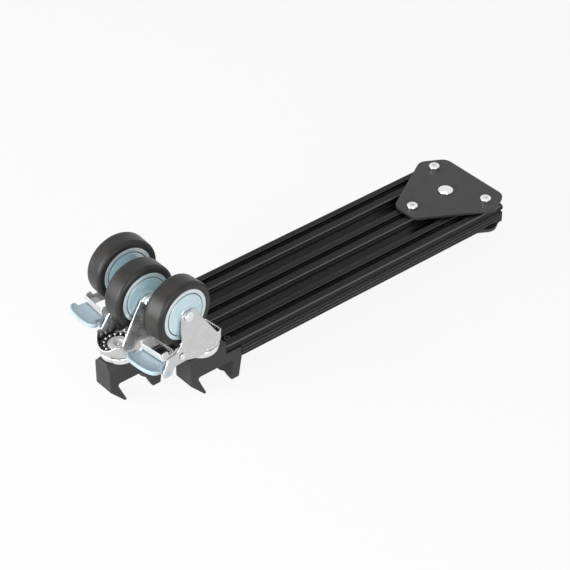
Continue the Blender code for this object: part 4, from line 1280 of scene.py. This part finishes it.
def hub_bolt(place):
    """Bolt with a flat round head at each end, edges rounded, a drive recess on top."""
    edge, head = BOLT_HEAD_EDGE, BOLT_HEAD_RADIUS
    top, bottom = HUB_HIGH + BOLT_HEAD_HEIGHT, HUB_LOW - BOLT_HEAD_HEIGHT
    low = top - BOLT_SOCKET_DEPTH
    profile = [
        (0, low), (BOLT_SOCKET, low), (BOLT_SOCKET, top),
        *arc_between((head - edge, top - edge), edge, 90, 0, 5), (head, HUB_HIGH),
        (BOLT_RADIUS, HUB_HIGH), (BOLT_RADIUS, HUB_LOW), (head, HUB_LOW),
        *arc_between((head - edge, bottom + edge), edge, 0, -90, 5), (0, bottom),
    ]
    return shifted(lathe(profile, SMALL_STEPS, hex_socket(BOLT_SOCKET)), (*place, 0))


def hub_stud():
    """Clamping stud with a domed head."""
    shoulder = HUB_HIGH + STUD_HEAD_SIDE
    profile = [
        *dome(STUD_HEAD_RADIUS, shoulder, BOLT_HEAD_HEIGHT - STUD_HEAD_SIDE, 8),
        (STUD_HEAD_RADIUS, HUB_HIGH), (STUD_RADIUS, HUB_HIGH), (STUD_RADIUS, STUD_DEPTH),
        (0, STUD_DEPTH),
    ]
    return lathe(profile, SMALL_STEPS)


def hub_knob():
    """Five-lobed knob: its radius is drawn in by depth * (1 - cos 5a) / 2 away from the boss."""
    edge, boss, bore = KNOB_EDGE, BOSS_RADIUS, STUD_RADIUS + SEAT_GAP
    centre = KNOB_RADIUS - edge
    bore_end = STUD_DEPTH - SEAT_GAP
    profile = [
        (0, 0), *arc_between((centre, edge), edge, -90, 0, 5),
        *arc_between((centre, KNOB_HEIGHT - edge), edge, 0, 90, 5),
        (boss + BOSS_FILLET, KNOB_HEIGHT), (boss, KNOB_HEIGHT + BOSS_RISE),
        (boss, HUB_LOW - WIDE_EDGE), (boss - WIDE_EDGE, HUB_LOW), (bore, HUB_LOW),
        (bore, bore_end), (0, bore_end),
    ]

    def lobed(angle, radius, height):
        share = ease((radius - boss) / (centre - boss))
        return radius - share * KNOB_LOBE_DEPTH * (1 - np.cos(KNOB_LOBES * angle)) / 2

    return lathe(profile, 2 * ROUND_STEPS, lobed)


# Assembly: name, shape, finish, slot and the CAD node that the piece stands for

CASTER_PIECES = (
    ("fork_sheet", joined(fork_dish(), cheek(1), cheek(-1)), ZINC, "pressed_steel", "fork"),
    ("swivel_balls", swivel_balls(), CHROME, "chrome", "swivel_bearing"),
    ("ball_cage", ball_cage(), RACE, "black_screw", "swivel_bearing"),
    ("axle_shaft", axle_bolt(), CHROME, "chrome", "axle_bolt"),
    ("axle_hex_nut", axle_nut(), CHROME, "chrome", "axle_nut"),
    ("head_side_cover", thread_guard(-1), DISC_BLUE, "blue_plastic", "head_side_guard"),
    ("nut_side_cover", thread_guard(1), DISC_BLUE, "blue_plastic", "nut_side_guard"),
    ("brake_rivet", brake_pin(), CHROME, "chrome", "brake_pin"),
    ("brake_coil", brake_spring(), CHROME, "chrome", "brake_spring"),
    ("wheel_core", rim(), RING_BLUE, "blue_plastic", "rim"),
    ("tread", tyre(), RUBBER, "tyre", "tyre"),
    ("brake_lever", brake_shoe(), SATIN, "chrome", "brake_shoe"),
    ("brake_pad", brake_pad(), RACE, "black_screw", "brake_shoe"),
    ("pedal_blade", pedal_blade(), PEDAL_BLUE, "blue_plastic", "pedal"),
)
LEG_PIECES = (
    ("foot_block", cradle(), CHARCOAL, "cradle_plastic", "cradle"),
    ("slot_screw", socket_screw(), OXIDE, "black_screw", "cradle_screw"),
)
MOUNT_PIECES = (
    ("swivel_cup", caster_cup(), CHROME, "chrome", "caster_cup"),
    ("flanged_kingpin", kingpin(), PAINTED_LIGHT_ZINC, "chrome", "kingpin"),
)

for side in SIDES:
    leg = leg_frame(side)
    mount = leg.copy()
    mount[:3, 3] += (0, SWIVEL_INSET * MM, CRADLE_TOP * MM)
    for place, pieces in ((caster_frame(side), CASTER_PIECES), (leg, LEG_PIECES), (mount, MOUNT_PIECES)):
        for name, shape, finish, slot, node in pieces:
            add_piece(f"{side}_{name}", shape, finish, place, f"{side}_{node}")
    reach = LEG_REACH if side == "middle" else LEG_REACH - PIVOT_RADIUS
    bar = rail(reach + RAIL_TAIL)
    add_piece(f"{side}_rail_extrusion", bar, ANODISED, leg, f"{side}_rail")

for name, low in (("upper", RAIL_TOP + SEAT_GAP), ("lower", RAIL_BOTTOM - SEAT_GAP - PLATE_THICKNESS)):
    plate = hub_plate(low)
    add_piece(f"hub_{name}_cheek", plate, POWDER, HUB_FRAME, f"hub_{name}_plate")
for name, place in BOLT_PLACES.items():
    add_piece(f"{name}_round_head", hub_bolt(place), CHROME, HUB_FRAME, name)
for side, sign in (("left", -1), ("right", 1)):
    bush = shifted(pivot_bush(), (*pivot_place(sign), 0))
    add_piece(f"{side}_plain_bush", bush, NYLON, HUB_FRAME, f"{side}_pivot_bush")
add_piece("hub_clamp_stud", hub_stud(), CHROME, HUB_FRAME, "hub_stud")
add_piece("hub_lobed_knob", hub_knob(), CHARCOAL, HUB_FRAME, "hub_knob")


# Floor, light and camera

FLOOR_SIZE = 12
FLOOR_WHITE = 0.86
FLOOR_GLOW = 0.9
SKY_LIGHT = 0.3
CAMERA_PLACE = (1.46234, -1.46800, 1.47982)
CAMERA_AZIMUTH = math.radians(50.198469)
CAMERA_ELEVATION = math.radians(37.210415)
CAMERA_LENS = 132.5
SENSOR_WIDTH = 36
CLIP_START = 0.01
LAMPS = (
    ("front_softbox", (-0.5, -2.0, 0.55), 1.2, 40.0),
    ("corner_softbox", (0.7, -1.9, 0.4), 1.0, 9.0),
    ("side_softbox", (1.7, -0.75, 0.4), 1.0, 15.0),
    ("top_softbox", (-0.3, -0.2, 2.0), 1.4, 2.0),
)
AIM = Vector((0.0, -0.35, 0.07))


def seen_directly(finish):
    """1 for camera, mirror and glass rays, 0 for the light that falls on the object."""
    path = finish.node("ShaderNodeLightPath").socket.node
    camera = Signal(finish, path.outputs["Is Camera Ray"])
    glossy = Signal(finish, path.outputs["Is Glossy Ray"])
    through = Signal(finish, path.outputs["Is Transmission Ray"])
    return camera.math("MAXIMUM", camera.math("MAXIMUM", camera, glossy), through)


def make_floor():
    """Plain white floor that keeps the object's shadow."""
    finish = Finish("pale_floor")
    matte = finish.node("ShaderNodeBsdfDiffuse", {}, {"Color": (FLOOR_WHITE,) * 3})
    glow = finish.node("ShaderNodeEmission", {}, {"Color": (1.0, 1.0, 1.0), "Strength": 1.0})
    share = seen_directly(finish) * FLOOR_GLOW
    mixed = finish.node("ShaderNodeMixShader", {}, {0: share, 1: matte, 2: glow})
    finish.node("ShaderNodeOutputMaterial", {}, {"Surface": mixed})
    reach = FLOOR_SIZE / 2
    corners = [(-reach, -reach, 0), (reach, -reach, 0), (reach, reach, 0), (-reach, reach, 0)]
    mesh = bpy.data.meshes.new("studio_floor")
    mesh.from_pydata(corners, [], [(0, 1, 2, 3)])
    mesh.materials.append(finish.material)
    placed("studio_floor", mesh)


def make_sky():
    """White where it is seen, softer where it lights the object."""
    world = bpy.data.worlds.new("studio_sky")
    bpy.context.scene.world = world
    finish = Finish("studio_sky", world)
    strength = SKY_LIGHT + (1 - SKY_LIGHT) * seen_directly(finish)
    sky = finish.node("ShaderNodeBackground", {}, {"Color": (1.0, 1.0, 1.0), "Strength": strength})
    finish.node("ShaderNodeOutputWorld", {}, {"Surface": sky})


def make_lamps():
    """Soft boxes aimed at the casters."""
    for name, place, size, power in LAMPS:
        light = bpy.data.lights.new(name, "AREA")
        light.size = size
        light.energy = power
        lamp = placed(name, light)
        lamp.location = place
        lamp.rotation_euler = (AIM - Vector(place)).to_track_quat("-Z", "Y").to_euler()


def make_camera():
    """Camera at the photograph's angle."""
    along, aside = math.cos(CAMERA_AZIMUTH), math.sin(CAMERA_AZIMUTH)
    flat = math.cos(CAMERA_ELEVATION)
    back = Vector((aside * flat, -along * flat, math.sin(CAMERA_ELEVATION)))
    right = Vector((along, aside, 0))
    up = back.cross(right)
    lens = bpy.data.cameras.new("studio_camera")
    lens.lens = CAMERA_LENS
    lens.sensor_width = SENSOR_WIDTH
    lens.clip_start = CLIP_START
    camera = placed("studio_camera", lens)
    turn = Matrix((right, up, back)).transposed().to_4x4()
    camera.matrix_world = Matrix.Translation(CAMERA_PLACE) @ turn
    bpy.context.scene.camera = camera


make_floor()
make_sky()
make_lamps()
make_camera()
bpy.context.scene.view_settings.view_transform = "Standard"
